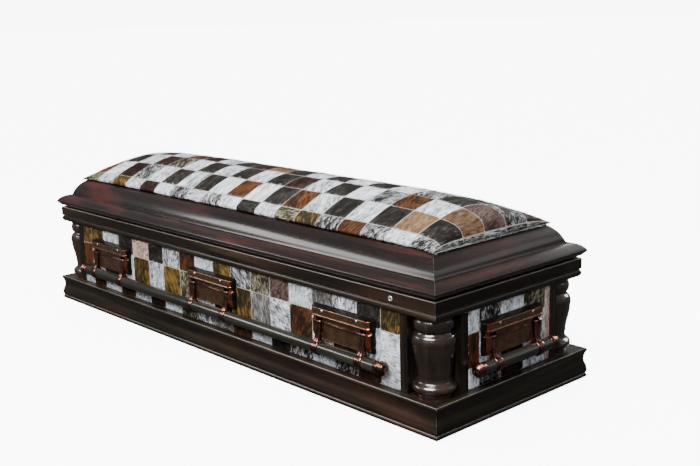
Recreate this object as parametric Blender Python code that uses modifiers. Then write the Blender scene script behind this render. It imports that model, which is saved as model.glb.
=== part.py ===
"""Funeral casket with turned corner columns, hide-covered sides, swing-bar handles and a padded lid.

Metres, +Z up, +X along the casket. The origin is on the floor under the middle of the plinth.
An inset is measured inwards from the outline of the plinth, on all four sides alike.
"""

import math

import bmesh
import bpy
from mathutils import Matrix, Vector

for old in list(bpy.data.objects):
    bpy.data.objects.remove(old)

# overall outline of the plinth, and the gap left between touching pieces
LENGTH = 2.130
WIDTH = 0.700
GAP = 0.0003

# plinth
PLINTH_TOP = 0.0975
PLINTH_WALL = 0.028
PLINTH_FLANGE_IN = 0.170
PLINTH_FLANGE_THICK = 0.018
FLOOR_THICK = 0.012

# box walls
BODY_TOP = 0.332
FACE_IN = 0.025
PANEL_FACE_IN = 0.028
PANEL_THICK = 0.018
NOTCH_IN = 0.131
STILE_IN = 0.161
CORNER_STEPS = 16

# corner column
COLUMN_IN = 0.084
COLUMN_FOOT_R = 0.052
COLUMN_WAIST_R = 0.049
COLUMN_SHOULDER_R = 0.065
COLUMN_NECK_R = 0.051
COLUMN_CAP_R = 0.057

# rail round the mouth of the box
RAIL_TOP = 0.392
RAIL_FACE_IN = 0.015
RAIL_INNER_IN = 0.060
RAIL_FOOT_IN = 0.0225
RAIL_BEAD_IN = 0.0190
RAIL_BEAD_Z = 0.3535
RAIL_BEAD_SWELL = 0.0058
RAIL_GROOVE_Z = 0.3565
RAIL_FASCIA_Z = 0.3585

# lock in the front rail
LOCK_FROM_END = 0.186
LOCK_Z = 0.371
LOCK_R = 0.009
LOCK_HOLE_R = 0.0045
LOCK_PROUD = 0.002
LOCK_DEEP = 0.016
LOCK_HOLE_DEEP = 0.012

# lid
LID_BOTTOM = 0.400
LID_TONGUE_IN = 0.032
LID_UNDER_IN = 0.016
LID_CHIN_IN = 0.0052
LID_CHIN_Z = 0.4115
LID_NOSE_IN = 0.003
LID_NOSE_Z = 0.416
LID_QUIRK_IN = 0.049
LID_QUIRK_Z = 0.441
LID_TOP_IN = 0.097
LID_TOP = 0.501
LID_LIP_SWELL = 0.0040
LID_SWELL = 0.0068
LID_COVE_IN = 0.080
LID_COVE_Z = 0.432
LID_BOARD_IN = 0.130
LID_BOARD_THICK = 0.015
LID_LEDGE = 0.012

# pad on the lid
PAD_IN = 0.096
PAD_EDGE_HIGH = 0.0195
PAD_EDGE_TUCK = 0.006
PAD_CROWN = 0.087
PAD_CELLS_LONG = 24
PAD_CELLS_WIDE = 10

# cast lug that carries a bar
LUG_HALF = 0.134
LUG_FRONT_HALF = 0.114
LUG_END_THIN = 0.25
LUG_BOTTOM = 0.186
LUG_TOP = 0.293
LUG_BACK_THICK = 0.004
LUG_FROM_END = 0.393
HOOD_DEEP = 0.028
HOOD_BOTTOM = 0.257
LUG_WALL_THICK = 0.023
LUG_WALL_DEEP = 0.024
FIELD_CLEAR = 0.0005
FIELD_DEEP = 0.016
RECESS_RISE = 0.001
LUG_END_LOW = 0.04

# swinging arms and bars
PIVOT_OUT = 0.0175
PIVOT_Z = 0.2400
PIVOT_R = 0.0032
PIVOT_CLEAR = 0.0005
PIVOT_IN_WALL = 0.004
KNUCKLE_R = 0.0075
ARM_END_CLEAR = 0.0015
ARM_TOP_WIDE = 0.015
ARM_FOOT_WIDE = 0.025
ARM_TOP_THICK = 0.008
ARM_FOOT_THICK = 0.018
BAR_OUT = 0.0272
BAR_Z = 0.161
BAR_R = 0.019
BAR_SIDES = 12
EYE_R = 0.0225
LONG_BAR_PAST_LUG = 0.027
SHORT_BAR_PAST_LUG = 0.016
TIP_LONG = 0.036

HALF_L = LENGTH / 2
HALF_W = WIDTH / 2
LUG_SPACING = HALF_L - LUG_FROM_END
ARM_AT = LUG_HALF - LUG_WALL_THICK - ARM_END_CLEAR - ARM_FOOT_WIDE / 2
FIELD_HALF = ARM_AT - ARM_FOOT_WIDE / 2 - FIELD_CLEAR
LONG_BAR_HALF = LUG_SPACING + LUG_HALF + LONG_BAR_PAST_LUG
SHORT_BAR_HALF = LUG_HALF + SHORT_BAR_PAST_LUG

casket = bpy.data.collections.new("Funeral casket")
bpy.context.scene.collection.children.link(casket)
cutting = bpy.data.collections.new("Cutters")
bpy.context.scene.collection.children.link(cutting)


def material(name, colour, roughness, metallic=0.0, coat=0.0):
    mat = bpy.data.materials.new(name)
    mat.use_nodes = True
    shader = mat.node_tree.nodes["Principled BSDF"]
    shader.inputs["Base Color"].default_value = (*colour, 1)
    shader.inputs["Roughness"].default_value = roughness
    shader.inputs["Metallic"].default_value = metallic
    shader.inputs["Coat Weight"].default_value = coat
    mat.diffuse_color = (*colour, 1)
    return mat


DARK_WOOD = material("dark stained wood", (0.030, 0.017, 0.012), 0.28, coat=0.4)
LID_WOOD = material("mahogany stained wood", (0.058, 0.016, 0.013), 0.24, coat=0.4)
PLAIN_WOOD = material("plain wood", (0.46, 0.31, 0.18), 0.65)
HIDE = material("patchwork hide", (0.34, 0.27, 0.20), 0.8)
COPPER = material("antique copper plate", (0.20, 0.055, 0.028), 0.22, 1.0)
STEEL = material("bright plated steel", (0.75, 0.76, 0.78), 0.18, 1.0)


def object_of(name, mesh, mat, collection=casket):
    obj = bpy.data.objects.new(name, mesh)
    collection.objects.link(obj)
    if mat:
        mesh.materials.append(mat)
    if collection is cutting:
        obj.hide_render = True
        obj.display_type = "WIRE"
    return obj


def mesh_of(name, bm, smooth=False):
    bmesh.ops.recalc_face_normals(bm, faces=bm.faces)
    if bm.calc_volume(signed=True) < 0:
        bmesh.ops.reverse_faces(bm, faces=bm.faces)
    for face in bm.faces:
        face.smooth = smooth
    mesh = bpy.data.meshes.new(name)
    bm.to_mesh(mesh)
    bm.free()
    return mesh


def box(name, low, high, mat=None, collection=casket):
    """An upright box between two opposite corners."""
    bm = bmesh.new()
    bmesh.ops.create_cube(bm, size=1)
    low, high = Vector(low), Vector(high)
    for vert in bm.verts:
        share = vert.co + Vector((0.5, 0.5, 0.5))
        vert.co = low + Vector([share[k] * (high[k] - low[k]) for k in range(3)])
    return object_of(name, mesh_of(name, bm), mat, collection)


def ears(outline):
    """Triangles that fill a closed flat outline, hollow or not, as triples of its point numbers."""

    def turn(a, b, c):
        return (b[0] - a[0]) * (c[1] - a[1]) - (b[1] - a[1]) * (c[0] - a[0])

    order = list(range(len(outline)))
    if sum(turn((0, 0), outline[k - 1], outline[k]) for k in order) < 0:
        order.reverse()
    triangles = []
    while len(order) > 3:
        best, best_shape = None, 0
        for k in range(len(order)):
            ear = (order[k - 1], order[k], order[(k + 1) % len(order)])
            a, b, c = (outline[n] for n in ear)
            others = [outline[n] for n in order if n not in ear]
            if any(min(turn(a, b, p), turn(b, c, p), turn(c, a, p)) >= 0 for p in others):
                continue
            longest = max(math.dist(a, b), math.dist(b, c), math.dist(c, a))
            shape = turn(a, b, c) / longest**2
            if shape > best_shape:
                best, best_shape = ear, shape
        triangles.append(best)
        order.remove(best[1])
    triangles.append(tuple(order))
    return triangles


def rings(name, loops, outline=None, smooth=False):
    """A closed mesh through loops that have the same number of points. Outline is a loop's flat shape."""
    bm = bmesh.new()
    rows = [[bm.verts.new(point) for point in loop] for loop in loops]
    for first, second in zip(rows, rows[1:]):
        count = len(first)
        for k in range(count):
            after = (k + 1) % count
            bm.faces.new((first[k], first[after], second[after], second[k]))
    for row in (rows[0], rows[-1]):
        for numbers in ears(outline) if outline else [range(len(row))]:
            bm.faces.new([row[n] for n in numbers])
    return mesh_of(name, bm, smooth)


def bulge(start, end, sagitta, count):
    """Points on an arc after start and up to end. A positive sagitta bulges to the left of the way."""
    a, b = Vector(start), Vector(end)
    way = b - a
    left = Vector((-way.y, way.x)).normalized()
    radius = (way.length**2 / 4 + sagitta**2) / (2 * abs(sagitta))
    side = 1 if sagitta > 0 else -1
    centre = (a + b) / 2 + left * side * (abs(sagitta) - radius)
    half = math.asin(min(1, way.length / 2 / radius))
    out = left * side
    along = way.normalized()
    points = []
    for k in range(1, count + 1):
        turn = -half + 2 * half * k / count
        point = centre + out * radius * math.cos(turn) + along * radius * math.sin(turn)
        points.append((point.x, point.y))
    points[-1] = tuple(end)
    return points


def ease(start, end, count):
    """Points on an S-shaped curve that leaves start and meets end upright in the second value."""
    points = []
    for k in range(1, count + 1):
        share = k / count
        swing = (1 - math.cos(math.pi * share)) / 2
        points.append(
            (start[0] + (end[0] - start[0]) * swing, start[1] + (end[1] - start[1]) * share)
        )
    return points


def frame_side(name, profile, side, mat):
    """One mitred length of a frame, from a closed profile of (inset, height)."""
    along_x = side in ("front", "back")
    sign = 1 if side in ("back", "right") else -1
    loops = []
    for end in (-1, 1):
        loop = []
        for inset, height in profile:
            half = (HALF_L if along_x else HALF_W) - inset - GAP
            depth = sign * ((HALF_W if along_x else HALF_L) - inset)
            point = (end * half, depth, height) if along_x else (depth, end * half, height)
            loop.append(point)
        loops.append(loop)
    return object_of(name, rings(name, loops, profile), mat)


def cut(obj, *cutters):
    for cutter in cutters:
        modifier = obj.modifiers.new("cut " + cutter.name, "BOOLEAN")
        modifier.operation = "DIFFERENCE"
        modifier.solver = "EXACT"
        modifier.object = cutter


def turned(name, profile, mat, steps, place=None, collection=casket):
    """A piece turned about its own Z axis, from (radius, height) points that run from top to bottom."""
    mesh = bpy.data.meshes.new(name)
    points = [(radius, 0, height) for radius, height in profile]
    mesh.from_pydata(points, [(k, k + 1) for k in range(len(points) - 1)], [])
    obj = object_of(name, mesh, mat, collection)
    screw = obj.modifiers.new("turn", "SCREW")
    screw.steps = screw.render_steps = steps
    screw.use_merge_vertices = True
    screw.merge_threshold = 0.00001
    screw.use_smooth_shade = True
    if place:
        obj.matrix_world = place
    return obj


def drum(name, radius, half, place, sides, mat=None, collection=cutting):
    """A round bar of this half length about its own Z axis, then placed."""
    bm = bmesh.new()
    bmesh.ops.create_cone(
        bm, cap_ends=True, segments=sides, radius1=radius, radius2=radius, depth=2 * half
    )
    obj = object_of(name, mesh_of(name, bm), mat, collection)
    for face in obj.data.polygons:
        face.use_smooth = len(face.vertices) == 4
    obj.matrix_world = place
    return obj


def baked(obj):
    """The mesh of an object with its modifiers applied. The object itself is removed."""
    bpy.context.view_layer.update()
    graph = bpy.context.evaluated_depsgraph_get()
    mesh = bpy.data.meshes.new_from_object(obj.evaluated_get(graph))
    bpy.data.objects.remove(obj)
    return mesh


SIDES = ("front", "back", "left", "right")

# plinth: bead at the floor, ogee face, projecting cap and a flat flange that carries the box
plinth = [(0.004, 0.0)]
plinth += bulge(plinth[-1], (0.0018, 0.0145), 0.0045, 5)
plinth += [(0.0010, 0.0165)]
plinth += bulge(plinth[-1], (-0.0005, 0.034), 0.0020, 3)
plinth += ease(plinth[-1], (0.0062, 0.062), 4)
plinth += bulge(plinth[-1], (0.0020, 0.084), -0.0012, 3)
plinth += [(0.0010, 0.0862), (-0.0008, 0.0880)]
plinth += bulge(plinth[-1], (0.0012, PLINTH_TOP), 0.0015, 3)
plinth += [
    (PLINTH_FLANGE_IN, PLINTH_TOP),
    (PLINTH_FLANGE_IN, PLINTH_TOP - PLINTH_FLANGE_THICK),
    (PLINTH_WALL, PLINTH_TOP - PLINTH_FLANGE_THICK),
    (PLINTH_WALL, 0.0),
]
for side in SIDES:
    frame_side("plinth_" + side, plinth, side, DARK_WOOD)

# floor of the box, notched round the corner posts
floor_in = PANEL_FACE_IN + PANEL_THICK + GAP
fx, fy = HALF_L - floor_in, HALF_W - floor_in
floor_low = PLINTH_TOP + GAP
board = box(
    "bottom_board", (-fx, -fy, floor_low), (fx, fy, floor_low + FLOOR_THICK), PLAIN_WOOD
)

# corner posts: an angle of two boards behind the column, with a block in the corner of the rail
post_base = PLINTH_TOP + GAP
rail_bottom = BODY_TOP + GAP
CLEAR = 0.05


def corner_box(name, sign_x, sign_y, low, high, **more):
    """A box from insets off a corner: low and high are (inset from end, inset from side, height)."""
    xs = sorted(sign_x * (HALF_L - inset) for inset in (low[0], high[0]))
    ys = sorted(sign_y * (HALF_W - inset) for inset in (low[1], high[1]))
    return box(name, (xs[0], ys[0], low[2]), (xs[1], ys[1], high[2]), **more)


CORNERS = {
    "front_left": (-1, -1),
    "front_right": (1, -1),
    "back_left": (-1, 1),
    "back_right": (1, 1),
}
for corner, (sign_x, sign_y) in CORNERS.items():
    post = corner_box(
        "corner_post_" + corner, sign_x, sign_y,
        (FACE_IN, FACE_IN, post_base), (STILE_IN, STILE_IN, RAIL_TOP), mat=DARK_WOOD,
    )
    block_in = RAIL_INNER_IN + GAP
    notch = corner_box(
        "notch_" + corner, sign_x, sign_y,
        (-CLEAR, -CLEAR, -CLEAR), (NOTCH_IN, NOTCH_IN, rail_bottom), collection=cutting,
    )
    end_rebate = corner_box(
        "end_rebate_" + corner, sign_x, sign_y,
        (-CLEAR, -CLEAR, BODY_TOP), (block_in, STILE_IN + CLEAR, RAIL_TOP + CLEAR),
        collection=cutting,
    )
    side_rebate = corner_box(
        "side_rebate_" + corner, sign_x, sign_y,
        (-CLEAR, -CLEAR, BODY_TOP), (STILE_IN + CLEAR, block_in, RAIL_TOP + CLEAR),
        collection=cutting,
    )
    cut(post, notch, end_rebate, side_rebate)
    step = corner_box(
        "floor_step_" + corner, sign_x, sign_y,
        (-CLEAR, -CLEAR, 0), (STILE_IN + GAP, STILE_IN + GAP, BODY_TOP), collection=cutting,
    )
    cut(board, step)

# corner columns, turned and then cut square to fit the notch
column_high = BODY_TOP - post_base
profile = [(0.0, 0.0), (COLUMN_FOOT_R, 0.0), (COLUMN_FOOT_R, 0.008)]
profile += [(COLUMN_FOOT_R + 0.004, 0.012)]
profile += bulge(profile[-1], (0.057, 0.038), -0.0088, 3)
profile += [(COLUMN_WAIST_R + 0.003, 0.042)]
profile += bulge(profile[-1], (COLUMN_WAIST_R + 0.0015, 0.066), 0.0022, 2)
profile += ease(profile[-1], (COLUMN_SHOULDER_R - 0.0015, 0.150), 4)
profile += bulge(profile[-1], (COLUMN_SHOULDER_R - 0.003, 0.174), -0.0025, 2)
profile += ease(profile[-1], (COLUMN_NECK_R, 0.189), 2)
profile += [(COLUMN_NECK_R + 0.004, 0.194)]
profile += bulge(profile[-1], (COLUMN_CAP_R - 0.001, 0.224), -0.0042, 3)
profile += [(COLUMN_CAP_R, 0.228), (COLUMN_CAP_R, column_high), (0.0, column_high)]
profile.reverse()
for corner, (sign_x, sign_y) in CORNERS.items():
    axis = (sign_x * (HALF_L - COLUMN_IN), sign_y * (HALF_W - COLUMN_IN), post_base)
    column = turned(
        "column_" + corner, profile, DARK_WOOD, CORNER_STEPS, Matrix.Translation(axis)
    )
    trim_in = NOTCH_IN - GAP
    reach = NOTCH_IN + CLEAR
    end_trim = corner_box(
        "end_trim_" + corner, sign_x, sign_y,
        (trim_in, -CLEAR, 0), (reach, reach, RAIL_TOP), collection=cutting,
    )
    side_trim = corner_box(
        "side_trim_" + corner, sign_x, sign_y,
        (-CLEAR, trim_in, 0), (reach, reach, RAIL_TOP), collection=cutting,
    )
    cut(column, end_trim, side_trim)

# hide-covered panels between the posts
panel_in, panel_back = PANEL_FACE_IN, PANEL_FACE_IN + PANEL_THICK
for side, sign in (("front", -1), ("back", 1)):
    ys = sorted((sign * (HALF_W - panel_in), sign * (HALF_W - panel_back)))
    half = HALF_L - STILE_IN - GAP
    box("hide_panel_" + side, (-half, ys[0], post_base), (half, ys[1], BODY_TOP), HIDE)
for side, sign in (("left", -1), ("right", 1)):
    xs = sorted((sign * (HALF_L - panel_in), sign * (HALF_L - panel_back)))
    half = HALF_W - STILE_IN - GAP
    box("hide_panel_" + side, (xs[0], -half, post_base), (xs[1], half, BODY_TOP), HIDE)

# rail: bead below, groove, flat fascia
rail = [(RAIL_FOOT_IN, rail_bottom)]
rail += bulge(rail[-1], (RAIL_BEAD_IN, RAIL_BEAD_Z), RAIL_BEAD_SWELL, 5)
rail += [(RAIL_BEAD_IN, RAIL_GROOVE_Z), (RAIL_FACE_IN, RAIL_FASCIA_Z)]
rail += [(RAIL_FACE_IN, RAIL_TOP - 0.0015)]
rail += [(RAIL_FACE_IN + 0.0015, RAIL_TOP), (RAIL_INNER_IN, RAIL_TOP)]
rail += [(RAIL_INNER_IN, rail_bottom)]
rails = {side: frame_side("rail_" + side, rail, side, DARK_WOOD) for side in SIDES}

# lock barrel, let into the front rail
rail_face_y = -(HALF_W - RAIL_FACE_IN)


def to_front(x, y, z):
    """Turns a piece's own +Z to point at the front, -Y."""
    return Matrix.Translation((x, y, z)) @ Matrix.Rotation(math.radians(90), 4, "X")


bore = drum(
    "lock_bore", LOCK_R + GAP, LOCK_DEEP + GAP, to_front(HALF_L - LOCK_FROM_END, rail_face_y, LOCK_Z), 14
)
cut(rails["front"], bore)
barrel = [(0.0, LOCK_PROUD - LOCK_HOLE_DEEP), (LOCK_HOLE_R, LOCK_PROUD - LOCK_HOLE_DEEP)]
barrel += [(LOCK_HOLE_R, LOCK_PROUD - 0.001), (LOCK_HOLE_R + 0.001, LOCK_PROUD)]
barrel += bulge(barrel[-1], (LOCK_R - GAP, 0.0), 0.0008, 3)
barrel += [(LOCK_R - GAP, -LOCK_DEEP), (0.0, -LOCK_DEEP)]
turned("lock_barrel", barrel, STEEL, 12, to_front(HALF_L - LOCK_FROM_END, rail_face_y, LOCK_Z))

# lid mouldings: nose, wide lip, quirk and a swelling upper curve, with a tongue that sits on the rail
tongue_z = RAIL_TOP + GAP
lid = [(LID_TONGUE_IN, tongue_z), (LID_TONGUE_IN, LID_BOTTOM), (LID_UNDER_IN, LID_BOTTOM)]
lid += [(LID_CHIN_IN, LID_CHIN_Z)]
lid += bulge(lid[-1], (LID_NOSE_IN + 0.002, LID_NOSE_Z + 0.004), 0.0020, 3)
lid += bulge(lid[-1], (LID_QUIRK_IN - 0.002, LID_QUIRK_Z), LID_LIP_SWELL, 6)
lid += [(LID_QUIRK_IN, LID_QUIRK_Z - 0.0015), (LID_QUIRK_IN + 0.0022, LID_QUIRK_Z + 0.0030)]
lid += bulge(lid[-1], (LID_TOP_IN, LID_TOP), LID_SWELL, 7)
ledge_z = LID_TOP - LID_BOARD_THICK - GAP
lid += [(LID_BOARD_IN, LID_TOP), (LID_BOARD_IN, ledge_z), (LID_BOARD_IN + LID_LEDGE, ledge_z)]
lid += [(LID_BOARD_IN + LID_LEDGE, ledge_z - LID_LEDGE), (LID_COVE_IN, LID_COVE_Z)]
lid += [(RAIL_INNER_IN, LID_BOTTOM + 0.010), (RAIL_INNER_IN, tongue_z)]
for side in SIDES:
    frame_side("lid_moulding_" + side, lid, side, LID_WOOD)

# top board of the lid, let in flush with the mouldings
board_x = HALF_L - LID_BOARD_IN - GAP
board_y = HALF_W - LID_BOARD_IN - GAP
box(
    "lid_board", (-board_x, -board_y, LID_TOP - LID_BOARD_THICK), (board_x, board_y, LID_TOP),
    PLAIN_WOOD,
)


def pad_height(u, v):
    """Height of the pad above its edge at shares u and v of its half length and half width."""
    return PAD_CROWN * (1 - abs(u) ** 6.5) ** 0.32 * (1 - abs(v) ** 1.7) ** 0.85


def pad_mesh():
    half_x, half_y, base = HALF_L - PAD_IN, HALF_W - PAD_IN, LID_TOP + GAP
    bm = bmesh.new()
    us = [math.sin(math.pi / 2 * (2 * k / PAD_CELLS_LONG - 1)) for k in range(PAD_CELLS_LONG + 1)]
    vs = [2 * k / PAD_CELLS_WIDE - 1 for k in range(PAD_CELLS_WIDE + 1)]
    us = [(0.45 * u + 0.55 * (2 * k / PAD_CELLS_LONG - 1)) for k, u in enumerate(us)]
    inner_x, inner_y = half_x - 0.003, half_y - 0.003
    top = [
        [
            bm.verts.new((u * inner_x, v * inner_y, base + PAD_EDGE_HIGH + pad_height(u, v)))
            for v in vs
        ]
        for u in us
    ]
    for first, second in zip(top, top[1:]):
        for k in range(PAD_CELLS_WIDE):
            bm.faces.new((first[k], second[k], second[k + 1], first[k + 1]))
    rim = [row[0] for row in top] + top[-1][1:]
    rim += [row[-1] for row in reversed(top[:-1])] + list(reversed(top[0][1:-1]))
    above = rim
    for tuck, height in ((0.0, 0.010), (PAD_EDGE_TUCK, 0.0)):
        grow_x, grow_y = (half_x - tuck) / inner_x, (half_y - tuck) / inner_y
        below = [bm.verts.new((v.co.x * grow_x, v.co.y * grow_y, base + height)) for v in rim]
        for k in range(len(rim)):
            after = (k + 1) % len(rim)
            bm.faces.new((above[k], above[after], below[after], below[k]))
        above = below
    bm.faces.new(above)
    bmesh.ops.triangulate(bm, faces=[f for f in bm.faces if len(f.verts) > 4])
    return mesh_of("lid_pad", bm, True)


object_of("lid_pad", pad_mesh(), HIDE)


# cast lug in its own frame: X along the wall, -Y out from it, Z up from the floor
def lug_mesh():
    face = [(0.0, LUG_BOTTOM), (0.010, LUG_BOTTOM), (0.018, LUG_BOTTOM + 0.005)]
    face += [(LUG_WALL_DEEP, HOOD_BOTTOM), (HOOD_DEEP - 0.001, HOOD_BOTTOM)]
    face += bulge(face[-1], (HOOD_DEEP - 0.001, HOOD_BOTTOM + 0.008), -0.0015, 2)
    face += [(HOOD_DEEP - 0.002, LUG_TOP - 0.007)]
    face += bulge(face[-1], (HOOD_DEEP - 0.009, LUG_TOP), -0.0018, 2)
    face += [(0.0, LUG_TOP)]
    loops = []
    middle = (LUG_TOP + LUG_BOTTOM) / 2
    for sign, turns in ((-1, (0, 45, 90)), (1, (90, 45, 0))):
        for turn in (math.radians(t) for t in turns):
            along = LUG_FRONT_HALF + (LUG_HALF - LUG_FRONT_HALF) * math.cos(turn)
            thin = LUG_END_THIN + (1 - LUG_END_THIN) * math.sin(turn)
            low = 1 - LUG_END_LOW * (1 - thin)
            loops.append([(sign * along, -out * thin, middle + (z - middle) * low) for out, z in face])
    lug = object_of("lug", rings("lug", loops, face), None, cutting)
    reach = HOOD_DEEP + CLEAR
    inner = LUG_HALF - LUG_WALL_THICK
    over_field = box(
        "over_field", (-inner, -reach, 0), (inner, -FIELD_DEEP, HOOD_BOTTOM), collection=cutting
    )
    recesses = [
        box(
            "recess_" + str(k), (min(a, b), -reach, 0),
            (max(a, b), -LUG_BACK_THICK, HOOD_BOTTOM + RECESS_RISE), collection=cutting,
        )
        for k, (a, b) in enumerate(((FIELD_HALF, inner), (-FIELD_HALF, -inner)))
    ]
    half = inner + PIVOT_IN_WALL + PIVOT_CLEAR
    socket_r = PIVOT_R + PIVOT_CLEAR
    side_on = Matrix.Rotation(math.radians(90), 4, "Y")
    at_pivot = Matrix.Translation((0, -PIVOT_OUT, PIVOT_Z)) @ side_on
    socket = drum("socket", socket_r, half, at_pivot, 12)
    cut(lug, over_field, *recesses, socket)
    return baked(lug)


# pair of arms on a pivot rod, in its own frame: X along the rod, origin on the rod's axis
def arm_mesh():
    out, down = BAR_OUT - PIVOT_OUT, BAR_Z - PIVOT_Z
    rod_half = LUG_HALF - LUG_WALL_THICK + PIVOT_IN_WALL
    side_on = Matrix.Rotation(math.radians(90), 4, "Y")
    rod = drum("rod", PIVOT_R, rod_half, side_on, 6)
    joined = []
    for sign in (-1, 1):
        centre = sign * ARM_AT
        loops = []
        for share in (0.0, 0.6, 1.0):
            wide = ARM_TOP_WIDE + (ARM_FOOT_WIDE - ARM_TOP_WIDE) * share**1.5
            thick = ARM_TOP_THICK + (ARM_FOOT_THICK - ARM_TOP_THICK) * share**2
            y, z = -out * share, down * share
            normal = Vector((-down, -out)).normalized() * thick / 2
            loops.append(
                [
                    (centre - wide / 2, y - normal.x, z - normal.y),
                    (centre + wide / 2, y - normal.x, z - normal.y),
                    (centre + wide / 2, y + normal.x, z + normal.y),
                    (centre - wide / 2, y + normal.x, z + normal.y),
                ]
            )
        joined.append(object_of("arm", rings("arm", loops), None, cutting))
        for label, radius, half, place, sides in (
            ("knuckle", KNUCKLE_R, ARM_TOP_WIDE / 2 + 0.001, (centre, 0, 0), 8),
            ("eye", EYE_R, ARM_FOOT_WIDE / 2 + 0.001, (centre, -out, down), 12),
        ):
            joined.append(drum(label, radius, half, Matrix.Translation(place) @ side_on, sides))
    for piece in joined:
        modifier = rod.modifiers.new("join", "BOOLEAN")
        modifier.operation = "UNION"
        modifier.solver = "EXACT"
        modifier.object = piece
    hole_r = (BAR_R + GAP) / math.cos(math.pi / BAR_SIDES)
    long = rod_half + CLEAR
    at_bar = Matrix.Translation((0, -out, down)) @ side_on
    hole = drum("bar_hole", hole_r, long, at_bar, BAR_SIDES)
    cut(rod, hole)
    return baked(rod), side_on


lug_shape = lug_mesh()
arm_shape, arm_turn = arm_mesh()

# bar ends: plated ferrule with three beads and a rounded nose
tip = [(0.0, TIP_LONG)]
tip += bulge(tip[-1], (BAR_R - 0.0006, TIP_LONG - 0.006), 0.0022, 2)
for bead in range(2):
    foot = TIP_LONG - 0.007 - 0.0075 * bead
    tip += [(BAR_R + 0.0002, foot), (BAR_R + 0.0024, foot - 0.0034), (BAR_R + 0.0002, foot - 0.0068)]
tip += [(BAR_R + 0.0012, TIP_LONG - 0.0225), (BAR_R + 0.0012, 0.0), (0.0, 0.0)]

wall_in = PANEL_FACE_IN - GAP
for side, angle, wall, centres, bar_half in (
    ("front", 0, HALF_W - wall_in, (-LUG_SPACING, 0.0, LUG_SPACING), LONG_BAR_HALF),
    ("back", 180, HALF_W - wall_in, (-LUG_SPACING, 0.0, LUG_SPACING), LONG_BAR_HALF),
    ("left", -90, HALF_L - wall_in, (0.0,), SHORT_BAR_HALF),
    ("right", 90, HALF_L - wall_in, (0.0,), SHORT_BAR_HALF),
):
    spin = Matrix.Rotation(math.radians(angle), 4, "Z")
    for centre in centres:
        # the back wall faces the other way, so its left lug is on the side's own right
        at = -centre if side == "back" else centre
        label = side
        if len(centres) > 1:
            label += {-1: "_left", 0: "_middle", 1: "_right"}[(centre > 0) - (centre < 0)]
        lug = object_of("lug_" + label, lug_shape.copy(), None)
        lug.data.materials.clear()
        lug.data.materials.append(COPPER)
        lug.matrix_world = spin @ Matrix.Translation((at, -wall, 0))
        arms = object_of("arm_pair_" + label, arm_shape.copy(), None)
        arms.data.materials.clear()
        arms.data.materials.append(COPPER)
        place = Matrix.Translation((at, -wall - PIVOT_OUT, PIVOT_Z))
        arms.matrix_world = spin @ place @ arm_turn
    across = Matrix.Rotation(math.radians(90), 4, "Y")
    bar_at = spin @ Matrix.Translation((0, -wall - BAR_OUT, BAR_Z))
    drum("bar_" + side, BAR_R, bar_half, bar_at @ across, BAR_SIDES, DARK_WOOD, casket)
    for end in (-1, 1):
        world_end = end if side in ("front", "right") else -end
        label = {-1: "_left", 1: "_right"}[world_end]
        if side in ("left", "right"):
            label = {-1: "_front", 1: "_back"}[world_end]
        flip = Matrix.Rotation(math.radians(90 * end), 4, "Y")
        shift = Matrix.Translation((end * (bar_half + GAP), 0, 0))
        turned("bar_tip_" + side + label, tip, COPPER, 10, bar_at @ shift @ flip)
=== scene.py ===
"""Looks for the funeral casket: lacquered woods, copper lugs and arms, and patchwork hide with its hair.

Metres, +Z up, +X along the casket, -Y the long side that the camera sees. An inset is measured
inwards from the outline of the plinth, as in the part's own source.
"""

import math
import random

import bmesh
import bpy
import numpy as np
from mathutils import Matrix, Vector, noise
from mathutils.geometry import tessellate_polygon


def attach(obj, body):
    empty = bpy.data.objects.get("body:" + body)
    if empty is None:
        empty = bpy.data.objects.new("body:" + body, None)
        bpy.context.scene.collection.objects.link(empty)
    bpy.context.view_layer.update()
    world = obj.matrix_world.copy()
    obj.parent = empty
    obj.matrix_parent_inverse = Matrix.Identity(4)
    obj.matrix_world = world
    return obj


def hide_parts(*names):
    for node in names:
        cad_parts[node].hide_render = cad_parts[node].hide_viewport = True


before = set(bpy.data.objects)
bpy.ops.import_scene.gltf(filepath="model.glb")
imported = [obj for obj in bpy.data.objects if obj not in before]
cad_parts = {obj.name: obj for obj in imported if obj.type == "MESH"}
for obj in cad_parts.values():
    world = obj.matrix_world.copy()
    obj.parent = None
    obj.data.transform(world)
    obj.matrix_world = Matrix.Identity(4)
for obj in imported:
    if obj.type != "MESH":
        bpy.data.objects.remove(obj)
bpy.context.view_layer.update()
scene = bpy.context.scene
UP = Vector((0, 0, 1))


# ---------------------------------------------------------------- camera

# fitted to the straight edges of the plinth, the rail and the lid
CAMERA_AT = (2.8775, -2.3018, 1.1845)
CAMERA_TURNS = (47.66, 12.52, -1.55)  # azimuth, elevation and roll, in degrees
CAMERA_LENS, SENSOR_WIDTH = 53.40, 36


def make_camera():
    azimuth, elevation, roll = (math.radians(a) for a in CAMERA_TURNS)
    level = math.cos(elevation)
    ahead = Vector((-math.sin(azimuth) * level, math.cos(azimuth) * level, -math.sin(elevation)))
    right = ahead.cross(UP).normalized()
    top = right.cross(ahead)
    right, top = (
        math.cos(roll) * right + math.sin(roll) * top,
        math.cos(roll) * top - math.sin(roll) * right,
    )
    data = bpy.data.cameras.new("studio camera")
    data.lens = CAMERA_LENS
    data.sensor_width = SENSOR_WIDTH
    data.sensor_fit = "HORIZONTAL"
    camera = bpy.data.objects.new("studio camera", data)
    scene.collection.objects.link(camera)
    turn = Matrix((right, top, -ahead)).transposed().to_4x4()
    camera.matrix_world = Matrix.Translation(CAMERA_AT) @ turn
    scene.camera = camera


make_camera()


# ---------------------------------------------------------------- sizes shared with the part

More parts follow.
